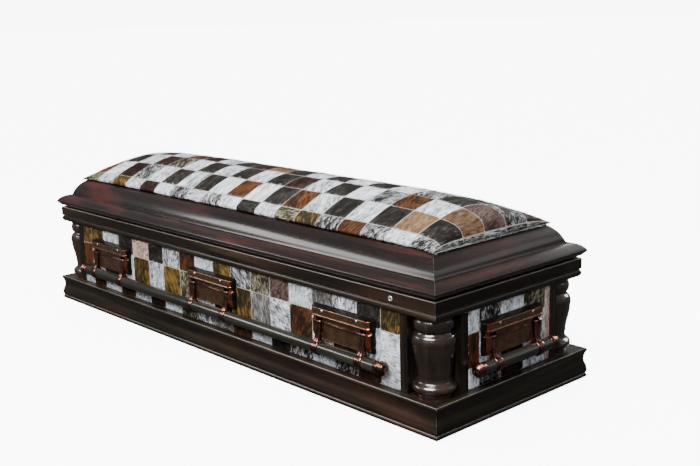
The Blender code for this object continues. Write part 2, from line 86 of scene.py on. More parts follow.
HALF_L, HALF_W = 1.065, 0.350
GAP = 0.0003
PLINTH_TOP = 0.0975
BODY_TOP = 0.332
RAIL_TOP = 0.392
RAIL_INNER_IN = 0.060
PANEL_FACE_IN = 0.028
PANEL_BACK_IN = 0.046
COLUMN_IN = 0.084
COLUMN_FLAT = 0.0467
LID_BOTTOM = 0.400
LID_TOP = 0.501
LID_BOARD_IN = 0.130
PAD_BASE = LID_TOP + GAP
PAD_RIM = 0.0195
PAD_HALF = (0.966, 0.251)
PAD_CROWN = 0.087
LOCK_AT = (0.879, -0.335, 0.371)
WALL_IN = 0.0277
LUG_SPACING = 0.672
LUG_HALF, LUG_FRONT_HALF, LUG_END_THIN = 0.134, 0.114, 0.25
LUG_BOTTOM, LUG_TOP = 0.186, 0.293
HOOD_BOTTOM = 0.257
PIVOT_OUT, PIVOT_Z, PIVOT_R = 0.0175, 0.2400, 0.0032
ARM_AT = 0.097
BAR_OUT, BAR_Z, BAR_R = 0.0272, 0.161, 0.019
LONG_BAR_HALF, SHORT_BAR_HALF = 0.833, 0.150
TIP_LONG = 0.036

SIDES = ("front", "back", "left", "right")
TURNS = {"front": 0, "back": 180, "left": -90, "right": 90}
CORNERS = {"front_left": (-1, -1), "front_right": (1, -1), "back_left": (-1, 1), "back_right": (1, 1)}


# ---------------------------------------------------------------- node helpers

def feed(tree, socket, value):
    """Links an input to a node or to one of its outputs, or sets it to a plain value."""
    if isinstance(value, bpy.types.Node):
        value = next(o for o in value.outputs if o.enabled)
    if isinstance(value, bpy.types.NodeSocket):
        tree.links.new(value, socket)
    else:
        socket.default_value = (*value, 1) if socket.type == "RGBA" else value


def add(tree, kind, inputs=None, **settings):
    """A node with its settings and its inputs."""
    made = tree.nodes.new(kind)
    for key, value in settings.items():
        setattr(made, key, value)
    for key, value in (inputs or {}).items():
        feed(tree, made.inputs[key], value)
    return made


def maths(tree, operation, first, second=0.0):
    return add(tree, "ShaderNodeMath", {0: first, 1: second}, operation=operation)


def mixed(tree, share, first, second, blend="MIX"):
    made = add(tree, "ShaderNodeMix", data_type="RGBA", blend_type=blend)
    for number, value in ((0, share), (6, first), (7, second)):
        feed(tree, made.inputs[number], value)
    return made.outputs[2]


def ranged(tree, value, low, high, to_low=0.0, to_high=1.0):
    return add(
        tree, "ShaderNodeMapRange",
        {"Value": value, "From Min": low, "From Max": high, "To Min": to_low, "To Max": to_high},
    ).outputs[0]


def finish(name, colour, roughness, **numbers):
    """A new material, its tree and its shader, with the numbers that are the same all over."""
    mat = bpy.data.materials.new(name)
    mat.use_nodes = True
    mat.diffuse_color = (*colour, 1)
    shader = mat.node_tree.nodes["Principled BSDF"]
    shader.inputs["Base Color"].default_value = (*colour, 1)
    shader.inputs["Roughness"].default_value = roughness
    for key, value in numbers.items():
        shader.inputs[key.replace("_", " ")].default_value = value
    return mat, mat.node_tree, shader


def stretched(tree, scale, turn=(0, 0, 0)):
    place = add(tree, "ShaderNodeTexCoord")
    return add(
        tree, "ShaderNodeMapping",
        {"Vector": place.outputs["Object"], "Scale": scale, "Rotation": turn},
    )


def speckle(tree, vector, scale=1.0, detail=4.0, rough=0.6, bend=0.0):
    return add(
        tree, "ShaderNodeTexNoise",
        {"Vector": vector, "Scale": scale, "Detail": detail, "Roughness": rough, "Distortion": bend},
    ).outputs["Fac"]


def bumped(tree, shader, height, distance, strength=1.0):
    bump = add(tree, "ShaderNodeBump", {"Height": height, "Distance": distance, "Strength": strength})
    tree.links.new(bump.outputs[0], shader.inputs["Normal"])


def named(tree, attribute, output="Vector"):
    return add(tree, "ShaderNodeAttribute", attribute_name=attribute).outputs[output]


# ---------------------------------------------------------------- finishes

# colour of the painted highlight lines on arrises and mitres
HIGHLIGHT_LINE_WOOD = (0.50, 0.46, 0.41)
SEAM_COLOUR = (0.50, 0.47, 0.43)


def along_grain(tree, axis, across, along):
    """Object coordinates, with a pattern's scale across the grain and along it."""
    scale = [across] * 3
    scale[axis] = along
    return stretched(tree, scale)


def lacquered_wood(
    name, axis, dark, middle, light, figure, roughness=0.34, coat=0.22, haze=0.16, index=1.45,
):
    """Stained wood with its grain along one axis, cloudy figure, open pores and a lacquer coat, with painted
    highlight lines on the marked arrises and mitres.
    """
    mat, tree, shader = finish(
        name, middle, roughness, Specular_IOR_Level=0.14, Coat_Weight=coat, Coat_Roughness=haze,
        Coat_IOR=index,
    )
    streaks = speckle(tree, along_grain(tree, axis, 26.0, 1.1), 1.0, 5.0, 0.62, 0.5)
    pores = speckle(tree, along_grain(tree, axis, 420.0, 14.0), 1.0, 2.0, 0.5)
    clouds = speckle(tree, along_grain(tree, axis, 7.0, 1.6), 1.0, 3.0, 0.55, 0.8)
    colour = mixed(tree, ranged(tree, streaks, 0.40, 0.68), dark, middle)
    colour = mixed(tree, ranged(tree, streaks, 0.56, 0.74), colour, light)
    colour = mixed(tree, ranged(tree, clouds, 0.50, 0.68, 0.0, 0.75), colour, figure)
    pore_colour = tuple(c * 0.4 for c in dark)
    colour = mixed(tree, ranged(tree, pores, 0.30, 0.46, 0.45, 0.0), colour, pore_colour)
    # painted highlight: a pale line on the marked arrises and mitres, patchy with the figure
    wear_and_shine_patches = ranged(tree, clouds, 0.2, 0.6, 0.55, 1.0)
    painted_shine = maths(tree, "MULTIPLY", named(tree, "painted_shine", "Fac"), wear_and_shine_patches)
    feed(tree, shader.inputs["Base Color"], mixed(tree, painted_shine, colour, HIGHLIGHT_LINE_WOOD))
    uneven = ranged(tree, clouds, 0.3, 0.7, roughness * 0.8, roughness * 1.25)
    feed(tree, shader.inputs["Roughness"], uneven)
    bumped(tree, shader, pores, 0.00004, 0.4)
    return mat


# dark, middle and light stain, and the colour of the cloudy figure
BASE_TONES = (
    (0.0058, 0.0047, 0.0034), (0.0195, 0.0138, 0.0085), (0.055, 0.038, 0.020), (0.031, 0.0140, 0.0086),
)
LID_TONES = (
    (0.0060, 0.0046, 0.0038), (0.0175, 0.0078, 0.0062), (0.042, 0.0155, 0.0110), (0.064, 0.0120, 0.0110),
)
TURNED_TONES = (
    (0.0095, 0.0060, 0.0042), (0.029, 0.0165, 0.0098), (0.046, 0.024, 0.0125), (0.042, 0.0175, 0.0100),
)
BAR_TONES = (
    (0.0060, 0.0060, 0.0044), (0.017, 0.0165, 0.011), (0.036, 0.033, 0.021), (0.022, 0.018, 0.011),
)


def wood_set(name, axes, tones, *lacquer):
    """One kind of wood with its grain along each of the axes."""
    return {axis: lacquered_wood(name + " " + "xyz"[axis], axis, *tones, *lacquer) for axis in axes}


dark_wood = wood_set("dark stained wood", (0, 1, 2), BASE_TONES)
lid_wood = wood_set("mahogany stained wood", (0, 1), LID_TONES, 0.30, 0.55, 0.14)
bar_wood = wood_set("bar wood", (0, 1), BAR_TONES, 0.30, 0.8, 0.045)
turned_wood = lacquered_wood("polished turned wood", 2, *TURNED_TONES, 0.30, 1.0, 0.15, 1.6)


def sanded_wood():
    mat, tree, shader = finish("sanded plain wood", (0.46, 0.31, 0.18), 0.62, Specular_IOR_Level=0.3)
    streaks = speckle(tree, stretched(tree, (1.2, 24, 24)), 1.0, 5.0, 0.6, 0.4)
    fibres = speckle(tree, stretched(tree, (10, 300, 300)), 1.0, 2.0)
    colour = mixed(tree, ranged(tree, streaks, 0.35, 0.7), (0.34, 0.21, 0.115), (0.55, 0.39, 0.24))
    colour = mixed(tree, ranged(tree, fibres, 0.3, 0.5, 0.35, 0.0), colour, (0.22, 0.13, 0.07))
    feed(tree, shader.inputs["Base Color"], colour)
    bumped(tree, shader, fibres, 0.0003, 0.5)
    return mat


def copper_plate(name, base, dark, middle, bright, metallic=1.0, shine=0.35):
    """Antique copper under lacquer: bright where it was worn, brown to black where it wasn't."""
    mat, tree, shader = finish(
        name, base, 0.22, Metallic=metallic, Specular_IOR_Level=shine, Coat_Weight=shine,
        Coat_Roughness=0.06, Coat_IOR=1.5,
    )
    rub = speckle(tree, stretched(tree, (55, 55, 55)), 1.0, 4.0, 0.55, 0.3)
    grain = speckle(tree, stretched(tree, (640, 640, 640)), 1.0, 2.0)
    colour = mixed(tree, ranged(tree, rub, 0.30, 0.70), dark, middle)
    colour = mixed(tree, ranged(tree, rub, 0.62, 0.76, 0.0, 0.6), colour, bright)
    feed(tree, shader.inputs["Base Color"], colour)
    feed(tree, shader.inputs["Roughness"], ranged(tree, grain, 0.3, 0.7, 0.19, 0.32))
    bumped(tree, shader, grain, 0.00008, 0.5)
    return mat


def bright_metal(name, colour, roughness, metallic=1.0):
    mat, tree, shader = finish(name, colour, roughness, Metallic=metallic)
    wear_and_shine_patches = speckle(tree, stretched(tree, (300, 300, 300)), 1.0, 4.0)
    shade = mixed(tree, ranged(tree, wear_and_shine_patches, 0.35, 0.7), tuple(c * 0.7 for c in colour), colour)
    feed(tree, shader.inputs["Base Color"], shade)
    uneven = ranged(tree, wear_and_shine_patches, 0.3, 0.7, roughness * 0.7, roughness * 1.4)
    feed(tree, shader.inputs["Roughness"], uneven)
    return mat


def haired_hide():
    """Short-haired hide. Each patch carries its own light and dark hair and how they mix."""
    mat, tree, shader = finish("haired hide", (0.40, 0.37, 0.34), 0.60, Specular_IOR_Level=0.10)
    fleck, strand = named(tree, "fleck"), named(tree, "strand")
    share, soft, edge = add(tree, "ShaderNodeSeparateXYZ", {0: named(tree, "blend")}).outputs[:3]
    flecks = speckle(tree, fleck, 1.0, 3.5, 0.62, 0.25)
    wide = add(tree, "ShaderNodeVectorMath", {0: fleck, 1: (0.14, 0.32, 1.0)}, operation="MULTIPLY")
    drift = speckle(tree, wide)
    level = maths(tree, "ADD", flecks, ranged(tree, drift, 0.25, 0.75, -0.14, 0.14))
    low, high = maths(tree, "SUBTRACT", share, soft), maths(tree, "ADD", share, soft)
    dark, light = named(tree, "dark", "Color"), named(tree, "light", "Color")
    colour = mixed(tree, ranged(tree, level, low, high), dark, light)
    lines = speckle(tree, strand, 1.0, 2.0, 0.55)
    lit = ranged(tree, lines, 0.28, 0.72, 0.42, 1.42)
    grey = add(tree, "ShaderNodeCombineXYZ", {0: lit, 1: lit, 2: lit})
    colour = mixed(tree, 1.0, colour, grey, "MULTIPLY")
    colour = mixed(tree, ranged(tree, edge, 0.5, 1.7, 0.85, 0.0), colour, SEAM_COLOUR)
    feed(tree, shader.inputs["Base Color"], colour)
    bumped(tree, shader, lines, 0.0010, 0.6)
    return mat


plain_wood = sanded_wood()
# the plain colour, then dark, middle and bright plate
copper = copper_plate(
    "antique copper plate", (0.20, 0.105, 0.056),
    (0.120, 0.066, 0.036), (0.27, 0.140, 0.075), (0.38, 0.190, 0.105), 0.9,
)
red_copper = copper_plate(
    "red copper plate", (0.28, 0.085, 0.045),
    (0.140, 0.036, 0.022), (0.36, 0.105, 0.055), (0.50, 0.180, 0.100), 0.9,
)
dark_copper = copper_plate(
    "dark copper plate", (0.12, 0.046, 0.034),
    (0.050, 0.020, 0.015), (0.17, 0.066, 0.046), (0.34, 0.165, 0.130),
)
# near-black copper: painted shade and dark reflection on the lugs' hood tops, side wall ends and feet,
# undersides and the recess round the field plate
shade_black_copper = copper_plate(
    "copper plate painted black for shade", (0.005, 0.004, 0.0035),
    (0.003, 0.0025, 0.0022), (0.007, 0.005, 0.004), (0.030, 0.015, 0.011), 0.0, 0.08,
)
pale_screw = bright_metal("pale screw head", (0.86, 0.78, 0.66), 0.25)
lock_plate = bright_metal("bright plated ring", (0.70, 0.71, 0.74), 0.32, 0.5)
# near black for the screw slots: painted shade
slot_shade_black = finish("screw slot painted shade", (0.012, 0.010, 0.009), 0.6)[0]
hide = haired_hide()


# ---------------------------------------------------------------- mesh helpers

def arc(start, end, sagitta, count):
    """Points on an arc after start and up to end. A positive sagitta bulges to the left of the way."""
    a, b = Vector(start), Vector(end)
    way = b - a
    left = Vector((-way.y, way.x)).normalized()
    radius = (way.length**2 / 4 + sagitta**2) / (2 * abs(sagitta))
    side = 1 if sagitta > 0 else -1
    centre = (a + b) / 2 + left * side * (abs(sagitta) - radius)
    half = math.asin(min(1, way.length / 2 / radius))
    along = way.normalized()
    points = []
    for k in range(1, count + 1):
        turn = -half + 2 * half * k / count
        point = centre + left * side * radius * math.cos(turn) + along * radius * math.sin(turn)
        points.append((point.x, point.y))
    points[-1] = tuple(end)
    return points


def ease(start, end, count):
    """Points on an S-shaped curve that leaves start and meets end upright."""
    points = []
    for k in range(1, count + 1):
        share = k / count
        swing = (1 - math.cos(math.pi * share)) / 2
        points.append((start[0] + (end[0] - start[0]) * swing, start[1] + (end[1] - start[1]) * share))
    return points


def read(parts, field, width=1, kind=float):
    """One field of all the vertices, corners or faces of a mesh."""
    values = np.zeros(len(parts) * width, kind)
    parts.foreach_get(field, values)
    return values.reshape(-1, width) if width > 1 else values


def object_with(name, mesh, *materials):
    obj = bpy.data.objects.new(name, mesh)
    scene.collection.objects.link(obj)
    for mat in materials:
        mesh.materials.append(mat)
    return obj


def settled(obj):
    """The mesh of an object with its modifiers applied. The object itself is removed."""
    bpy.context.view_layer.update()
    graph = bpy.context.evaluated_depsgraph_get()
    mesh = bpy.data.meshes.new_from_object(obj.evaluated_get(graph))
    bpy.data.objects.remove(obj)
    return mesh


def sealed(bm):
    """Merges doubles and turns all faces of closed shells outwards."""
    bmesh.ops.remove_doubles(bm, verts=bm.verts, dist=0.00001)
    bmesh.ops.recalc_face_normals(bm, faces=bm.faces)
    return bm


def mesh_from(bm, name, angle=40):
    mesh = bpy.data.meshes.new(name)
    bm.to_mesh(mesh)
    bm.free()
    mesh.shade_smooth()
    mesh.set_sharp_from_angle(angle=math.radians(angle))
    return mesh


def rounded(mesh, name, width, segments, angle):
    """The mesh with its sharp edges rounded."""
    obj = object_with(name + " unrounded", mesh)
    bevel = obj.modifiers.new("round", "BEVEL")
    bevel.width = width
    bevel.segments = segments
    bevel.limit_method = "ANGLE"
    bevel.angle_limit = math.radians(angle)
    even = obj.modifiers.new("even", "WEIGHTED_NORMAL")
    even.keep_sharp = True
    return settled(obj)


def keep(name, mesh, body, slot, *replaced):
    """Makes a mesh a piece that rides on a body and stands for CAD nodes."""
    obj = bpy.data.objects.new(name, mesh)
    scene.collection.objects.link(obj)
    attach(obj, body)
    if replaced:
        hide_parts(*replaced)
    return obj


def lathe(bm, profile, steps, place, closed=False, squeeze=None):
    """Adds a turned shell about local Z to a bmesh. Profile points are (radius, height)."""
    rows = []
    for radius, height in profile:
        if radius < 1e-6:
            rows.append([bm.verts.new(place @ Vector((0, 0, height)))])
            continue
        row = []
        for k in range(steps):
            turn = 2 * math.pi * k / steps
            point = Vector((radius * math.cos(turn), radius * math.sin(turn), height))
            row.append(bm.verts.new(place @ (squeeze(point) if squeeze else point)))
        rows.append(row)
    pairs = list(zip(rows, rows[1:])) + ([(rows[-1], rows[0])] if closed else [])
    for first, second in pairs:
        for k in range(steps):
            after = (k + 1) % steps
            around = ((first, k), (first, after), (second, after), (second, k))
            corners = [row[n % len(row)] for row, n in around]
            corners = [c for n, c in enumerate(corners) if c not in corners[:n]]
            if len(corners) > 2:
                bm.faces.new(corners)


def turned_shell(name, profile, steps, place, finish_of, angle, squeeze=None):
    """The mesh of one turned shell, in one finish, sharp past an angle in degrees."""
    shell = bmesh.new()
    lathe(shell, profile, steps, place, squeeze=squeeze)
    mesh = mesh_from(sealed(shell), name, angle)
    mesh.materials.append(finish_of)
    return mesh


def loft(bm, loops):
    """Adds a closed shell through loops that have the same number of points."""
    rows = [[bm.verts.new(point) for point in loop] for loop in loops]
    for first, second in zip(rows, rows[1:]):
        count = len(first)
        for k in range(count):
            after = (k + 1) % count
            bm.faces.new((first[k], first[after], second[after], second[k]))
    for row in (rows[0], rows[-1]):
        for numbers in tessellate_polygon([[v.co for v in row]]):
            bm.faces.new([row[n] for n in numbers])


def block(bm, low, high, cut=0.0):
    """Adds a box, with its upright edges cut by a chamfer if one is given."""
    x0, y0, z0 = low
    x1, y1, z1 = high
    ring = [(x0, y0 + cut), (x0 + cut, y0), (x1 - cut, y0), (x1, y0 + cut), (x1, y1), (x0, y1)]
    if not cut:
        ring = [(x0, y0), (x1, y0), (x1, y1), (x0, y1)]
    loft(bm, [[Vector((x, y, z)) for x, y in ring] for z in (z0, z1)])


# ---------------------------------------------------------------- geometry nodes

def rule(name, inputs):
    """A geometry node tree with named inputs. Returns it with its input and output nodes."""
    tree = bpy.data.node_groups.new(name, "GeometryNodeTree")
    tree.interface.new_socket("Geometry", in_out="INPUT", socket_type="NodeSocketGeometry")
    for label, kind in inputs:
        tree.interface.new_socket(label, in_out="INPUT", socket_type="NodeSocket" + kind)
    tree.interface.new_socket("Geometry", in_out="OUTPUT", socket_type="NodeSocketGeometry")
    return tree, tree.nodes.new("NodeGroupInput").outputs, tree.nodes.new("NodeGroupOutput").inputs


def made_by(tree, mesh, values):
    """The mesh that a geometry node tree makes from another one."""
    obj = object_with("before " + tree.name, mesh)
    modifier = obj.modifiers.new(tree.name, "NODES")
    modifier.node_group = tree
    for item in tree.interface.items_tree:
        if item.in_out == "INPUT" and item.name in values:
            modifier[item.identifier] = values[item.name]
    return settled(obj)


def moulding_rule():
    """A mitred length of moulding from a closed outline of (inset, height) points in the XY plane."""
    tree, given, result = rule(
        "mitred moulding",
        [
            ("Half Length", "Float"), ("Half Depth", "Float"), ("Gap", "Float"), ("Turn", "Float"),
            ("Finish", "Material"),
        ],
    )
    curve = add(tree, "GeometryNodeMeshToCurve", {0: given["Geometry"]})
    end = add(tree, "GeometryNodeFillCurve", {0: curve})
    swept = add(
        tree, "GeometryNodeExtrudeMesh",
        {"Mesh": end, "Offset": (0, 0, 1), "Offset Scale": 1.0, "Individual": False}, mode="FACES",
    )
    other = add(tree, "GeometryNodeFlipFaces", {0: end})
    joined = add(tree, "GeometryNodeJoinGeometry")
    tree.links.new(swept.outputs["Mesh"], joined.inputs[0])
    tree.links.new(other.outputs[0], joined.inputs[0])
    closed = add(tree, "GeometryNodeMergeByDistance", {0: joined, "Distance": 0.00001})
    point = add(tree, "GeometryNodeInputPosition")
    inset, height, share = add(tree, "ShaderNodeSeparateXYZ", {0: point}).outputs[:3]
    reach = maths(tree, "SUBTRACT", maths(tree, "SUBTRACT", given["Half Length"], inset), given["Gap"])
    side = maths(tree, "SUBTRACT", maths(tree, "MULTIPLY", share, 2.0), 1.0)
    along = maths(tree, "MULTIPLY", side, reach)
    out = maths(tree, "SUBTRACT", inset, given["Half Depth"])
    place = add(tree, "ShaderNodeCombineXYZ", {0: along, 1: out, 2: height})
    moved = add(tree, "GeometryNodeSetPosition", {"Geometry": closed, "Position": place})
    spin = add(tree, "ShaderNodeCombineXYZ", {2: given["Turn"]})
    turned = add(tree, "GeometryNodeTransform", {"Geometry": moved, "Rotation": spin})
    whole = add(tree, "GeometryNodeRealizeInstances", {0: turned})
    done = add(tree, "GeometryNodeSetMaterial", {"Geometry": whole, "Material": given["Finish"]})
    tree.links.new(done.outputs[0], result["Geometry"])
    return tree


def screw_rule():
    """A domed, slotted screw head on each point, facing -Y."""
    tree, given, result = rule(
        "screw heads",
        [
            ("Radius", "Float"), ("Height", "Float"), ("Slot Width", "Float"), ("Seed", "Int"),
            ("Head", "Material"), ("Slot", "Material"),
        ],
    )
    radius, height = given["Radius"], given["Height"]
    ball = add(tree, "GeometryNodeMeshUVSphere", {"Segments": 20, "Rings": 10, "Radius": 1.0})
    size = add(tree, "ShaderNodeCombineXYZ", {0: radius, 1: radius, 2: height})
    dome = add(tree, "GeometryNodeTransform", {"Geometry": ball.outputs["Mesh"], "Scale": size})
    dome = add(tree, "GeometryNodeSetMaterial", {"Geometry": dome, "Material": given["Head"]})
    # the slot is a black bar on the dome: painted shade standing for a cut slot
    length = maths(tree, "MULTIPLY", radius, 1.25)
    deep = maths(tree, "MULTIPLY", height, 0.5)
    slot = add(tree, "ShaderNodeCombineXYZ", {0: length, 1: given["Slot Width"], 2: deep})
    bar = add(tree, "GeometryNodeMeshCube", {"Size": slot})
    raised = add(tree, "ShaderNodeCombineXYZ", {2: maths(tree, "MULTIPLY", height, 0.76)})
    bar = add(tree, "GeometryNodeTransform", {"Geometry": bar.outputs["Mesh"], "Translation": raised})
    bar = add(tree, "GeometryNodeSetMaterial", {"Geometry": bar, "Material": given["Slot"]})
    head = add(tree, "GeometryNodeJoinGeometry")
    tree.links.new(dome.outputs[0], head.inputs[0])
    tree.links.new(bar.outputs[0], head.inputs[0])
    points = add(tree, "GeometryNodeMeshToPoints", {"Mesh": given["Geometry"]})
    limits = {"Min": 0.0, "Max": 3.14, "Seed": given["Seed"]}
    turn = add(tree, "FunctionNodeRandomValue", limits, data_type="FLOAT")
    facing = add(tree, "FunctionNodeEulerToRotation", {0: (math.radians(90), 0, 0)})
    about = add(tree, "ShaderNodeCombineXYZ", {2: turn.outputs[1]})
    own = add(tree, "FunctionNodeEulerToRotation", {0: about})
    turned = add(tree, "FunctionNodeRotateRotation", {0: facing, 1: own}, rotation_space="LOCAL")
    heads = add(
        tree, "GeometryNodeInstanceOnPoints", {"Points": points, "Instance": head, "Rotation": turned},
    )
    whole = add(tree, "GeometryNodeRealizeInstances", {0: heads})
    tree.links.new(whole.outputs[0], result["Geometry"])
    return tree


def hair_rule():
    """Short hairs that lie along the surface, thick away from the seams."""
    tree, given, result = rule(
        "hair coat",
        [
            ("Density", "Float"), ("Length", "Float"), ("Width", "Float"), ("Lift", "Float"),
            ("Seed", "Int"), ("Finish", "Material"),
        ],
    )
    width, length = given["Width"], given["Length"]
    sizes = {"Size X": width, "Size Y": length, "Vertices X": 2, "Vertices Y": 3}
    blade = add(tree, "GeometryNodeMeshGrid", sizes)
    point = add(tree, "GeometryNodeInputPosition")
    x, y = add(tree, "ShaderNodeSeparateXYZ", {0: point}).outputs[:2]
    share = maths(tree, "ADD", maths(tree, "DIVIDE", y, length), 0.5)
    narrow = maths(tree, "SUBTRACT", 1.0, maths(tree, "POWER", share, 2.0))
    reach = maths(tree, "MULTIPLY", share, length)
    bow = maths(tree, "MULTIPLY", reach, 0.16)
    half = maths(tree, "MULTIPLY", x, narrow)
    shape = add(tree, "ShaderNodeCombineXYZ", {0: half, 1: reach, 2: bow})
    blade = add(tree, "GeometryNodeSetPosition", {"Geometry": blade.outputs["Mesh"], "Position": shape})
    blade = add(tree, "GeometryNodeMergeByDistance", {0: blade, "Distance": 0.00005})
    thick = add(tree, "GeometryNodeInputNamedAttribute", {"Name": "hairy"}, data_type="FLOAT")
    density = maths(tree, "MULTIPLY", thick.outputs[0], given["Density"])
    spread = add(
        tree, "GeometryNodeDistributePointsOnFaces",
        {"Mesh": given["Geometry"], "Density": density, "Seed": given["Seed"]},
    )
    lie = add(tree, "GeometryNodeInputNamedAttribute", {"Name": "lie"}, data_type="FLOAT_VECTOR")
    kind = "FunctionNodeAlignRotationToVector"
    upright = add(tree, kind, {"Vector": spread.outputs["Normal"]}, axis="Z")
    along = add(tree, kind, {"Rotation": upright, "Vector": lie.outputs[0]}, axis="Y", pivot_axis="Z")
    lift = given["Lift"]
    least = add(tree, "ShaderNodeCombineXYZ", {0: maths(tree, "MULTIPLY", lift, 0.2), 2: -0.28})
    most = add(tree, "ShaderNodeCombineXYZ", {0: lift, 2: 0.28})
    limits = {0: least, 1: most, "Seed": given["Seed"]}
    sway = add(tree, "FunctionNodeRandomValue", limits, data_type="FLOAT_VECTOR")
    jitter = add(tree, "FunctionNodeEulerToRotation", {0: sway.outputs[0]})
    turned = add(tree, "FunctionNodeRotateRotation", {0: along, 1: jitter}, rotation_space="LOCAL")
    limits = {"Min": 0.6, "Max": 1.15, "Seed": given["Seed"]}
    size = add(tree, "FunctionNodeRandomValue", limits, data_type="FLOAT")
    hairs = add(
        tree, "GeometryNodeInstanceOnPoints",
        {"Points": spread.outputs["Points"], "Instance": blade, "Rotation": turned, "Scale": size.outputs[1]},
    )
    whole = add(tree, "GeometryNodeRealizeInstances", {0: hairs})
    done = add(tree, "GeometryNodeSetMaterial", {"Geometry": whole, "Material": given["Finish"]})
    tree.links.new(done.outputs[0], result["Geometry"])
    return tree


mitred = moulding_rule()
screwed = screw_rule()
haired = hair_rule()


# ---------------------------------------------------------------- mouldings

def plinth_outline():
    line = [(0.004, 0.0)]
    line += arc(line[-1], (0.0018, 0.0145), 0.0045, 14)
    line += [(0.0010, 0.0165)]
    line += arc(line[-1], (-0.0005, 0.034), 0.0020, 8)
    line += ease(line[-1], (0.0062, 0.062), 14)
    line += arc(line[-1], (0.0020, 0.084), -0.0012, 8)
    line += [(0.0010, 0.0862), (-0.0008, 0.0880)]
    line += arc(line[-1], (0.0012, PLINTH_TOP), 0.0015, 8)
    return line + [(0.170, PLINTH_TOP), (0.170, 0.0795), (0.028, 0.0795), (0.028, 0.0)]


def rail_outline():
    line = [(0.0225, BODY_TOP + GAP)]
    line += arc(line[-1], (0.0190, 0.3535), 0.0058, 16)
    line += [(0.0190, 0.3565), (0.015, 0.3585), (0.015, RAIL_TOP - 0.0015), (0.0165, RAIL_TOP)]
    return line + [(RAIL_INNER_IN, RAIL_TOP), (RAIL_INNER_IN, BODY_TOP + GAP)]


def lid_outline():
    tongue, ledge = RAIL_TOP + GAP, LID_TOP - 0.015 - GAP
    line = [(0.032, tongue), (0.032, LID_BOTTOM), (0.016, LID_BOTTOM), (0.0052, 0.4115)]
    line += arc(line[-1], (0.005, 0.420), 0.0020, 10)
    line += arc(line[-1], (0.047, 0.441), 0.0058, 20)
    line += [(0.049, 0.4395), (0.0512, 0.4440)]
    line += arc(line[-1], (0.097, LID_TOP), 0.0068, 20)
    line += [(LID_BOARD_IN, LID_TOP), (LID_BOARD_IN, ledge), (0.142, ledge), (0.142, ledge - 0.012)]
    return line + [(0.080, 0.432), (RAIL_INNER_IN, LID_BOTTOM + 0.010), (RAIL_INNER_IN, tongue)]


ARRIS_ANGLE = 32
ARRIS_FACE, ARRIS_REACH = 0.0020, 0.0014
MITRE_FACE, MITRE_REACH = 0.03, 0.0016
SEEN_ARRIS_IN, SEEN_MITRE_IN = 0.128, 0.11
# how strongly the painted highlight lightens the arrises and the mitres
ARRIS_SHINE, MITRE_SHINE = 0.42, 0.9


def mark_highlight_lines(mesh, outline, half, depth, unturn):
    """Marks the arrises and the mitres of a moulding for a painted highlight: a pale line where the lacquer
    catches the light.
    """
    place = read(mesh.vertices, "co", 3) @ np.array(Matrix.Rotation(unturn, 3, "Z")).T
    inset, height = place[:, 1] + depth, place[:, 2]
    to_arris = np.full(len(place), 1.0)
    points = [Vector(p) for p in outline]
    for k, point in enumerate(points):
        before, after = point - points[k - 1], points[(k + 1) % len(points)] - point
        if before.angle(after) > math.radians(ARRIS_ANGLE) and point.x < SEEN_ARRIS_IN:
            to_arris = np.minimum(to_arris, np.hypot(inset - point.x, height - point.y))
    to_mitre = np.abs(half - GAP - inset - np.abs(place[:, 0]))
    vert = read(mesh.loops, "vertex_index", kind=int)
    starts = read(mesh.polygons, "loop_start", kind=int)

    def most(values):
        return np.maximum.reduceat(values[vert], starts)

    def span(values):
        return most(values) - np.minimum.reduceat(values[vert], starts)

    arris = (np.hypot(span(inset), span(height)) < ARRIS_FACE) & (most(to_arris) < ARRIS_REACH)
    mitre = (span(place[:, 0]) < MITRE_FACE) & (most(to_mitre) < MITRE_REACH)
    mitre &= most(inset) < SEEN_MITRE_IN
    # the painted highlight's strength on each face
    layer = mesh.attributes.new("painted_shine", "FLOAT", "FACE")
    layer.data.foreach_set("value", np.where(mitre, MITRE_SHINE, arris * ARRIS_SHINE))


def mouldings(label, node, outline, finishes, slot, width):
    """Four mitred lengths of one moulding, with its sharp edges rounded by width."""
    for side in SIDES:
        along_x = side in ("front", "back")
        half, depth = (HALF_L, HALF_W) if along_x else (HALF_W, HALF_L)
        wire = bpy.data.meshes.new(label)
        edges = [(k, (k + 1) % len(outline)) for k in range(len(outline))]
        wire.from_pydata([(*point, 0) for point in outline], edges, [])
        mesh = made_by(
            mitred, wire,
            {
                "Half Length": half, "Half Depth": depth, "Gap": GAP,
                "Turn": math.radians(TURNS[side]), "Finish": finishes[0 if along_x else 1],
            },
        )
        mesh.shade_smooth()
        mesh = rounded(mesh, label, width, 3, ARRIS_ANGLE)
        mark_highlight_lines(mesh, outline, half, depth, math.radians(-TURNS[side]))
        keep(label + "_" + side, mesh, "casket", slot, node + "_" + side)


mouldings("plinth_profile", "plinth", plinth_outline(), dark_wood, "dark_wood", 0.0010)
mouldings("rail_profile", "rail", rail_outline(), dark_wood, "dark_wood", 0.0010)
mouldings("lid_profile", "lid_moulding", lid_outline(), lid_wood, "lid_wood", 0.0011)


# ---------------------------------------------------------------- corner columns and posts

def column_outline():
    high = BODY_TOP - PLINTH_TOP - GAP
    line = [(0.0, 0.0), (0.0505, 0.0), (0.0520, 0.0015), (0.0520, 0.008), (0.056, 0.012)]
    line += arc(line[-1], (0.057, 0.038), -0.0088, 16)
    line += [(0.0530, 0.0405), (0.0512, 0.0425)]
    line += arc(line[-1], (0.0505, 0.066), 0.0022, 8)
    line += ease(line[-1], (0.0635, 0.150), 18)
    line += arc(line[-1], (0.062, 0.174), -0.0025, 10)
    line += ease(line[-1], (0.051, 0.189), 8)
    line += [(0.0518, 0.1910), (0.0545, 0.1935)]
    line += arc(line[-1], (0.056, 0.224), -0.0042, 14)
    return line + [(0.0565, 0.2265), (0.057, 0.228), (0.057, high), (0.0, high)]


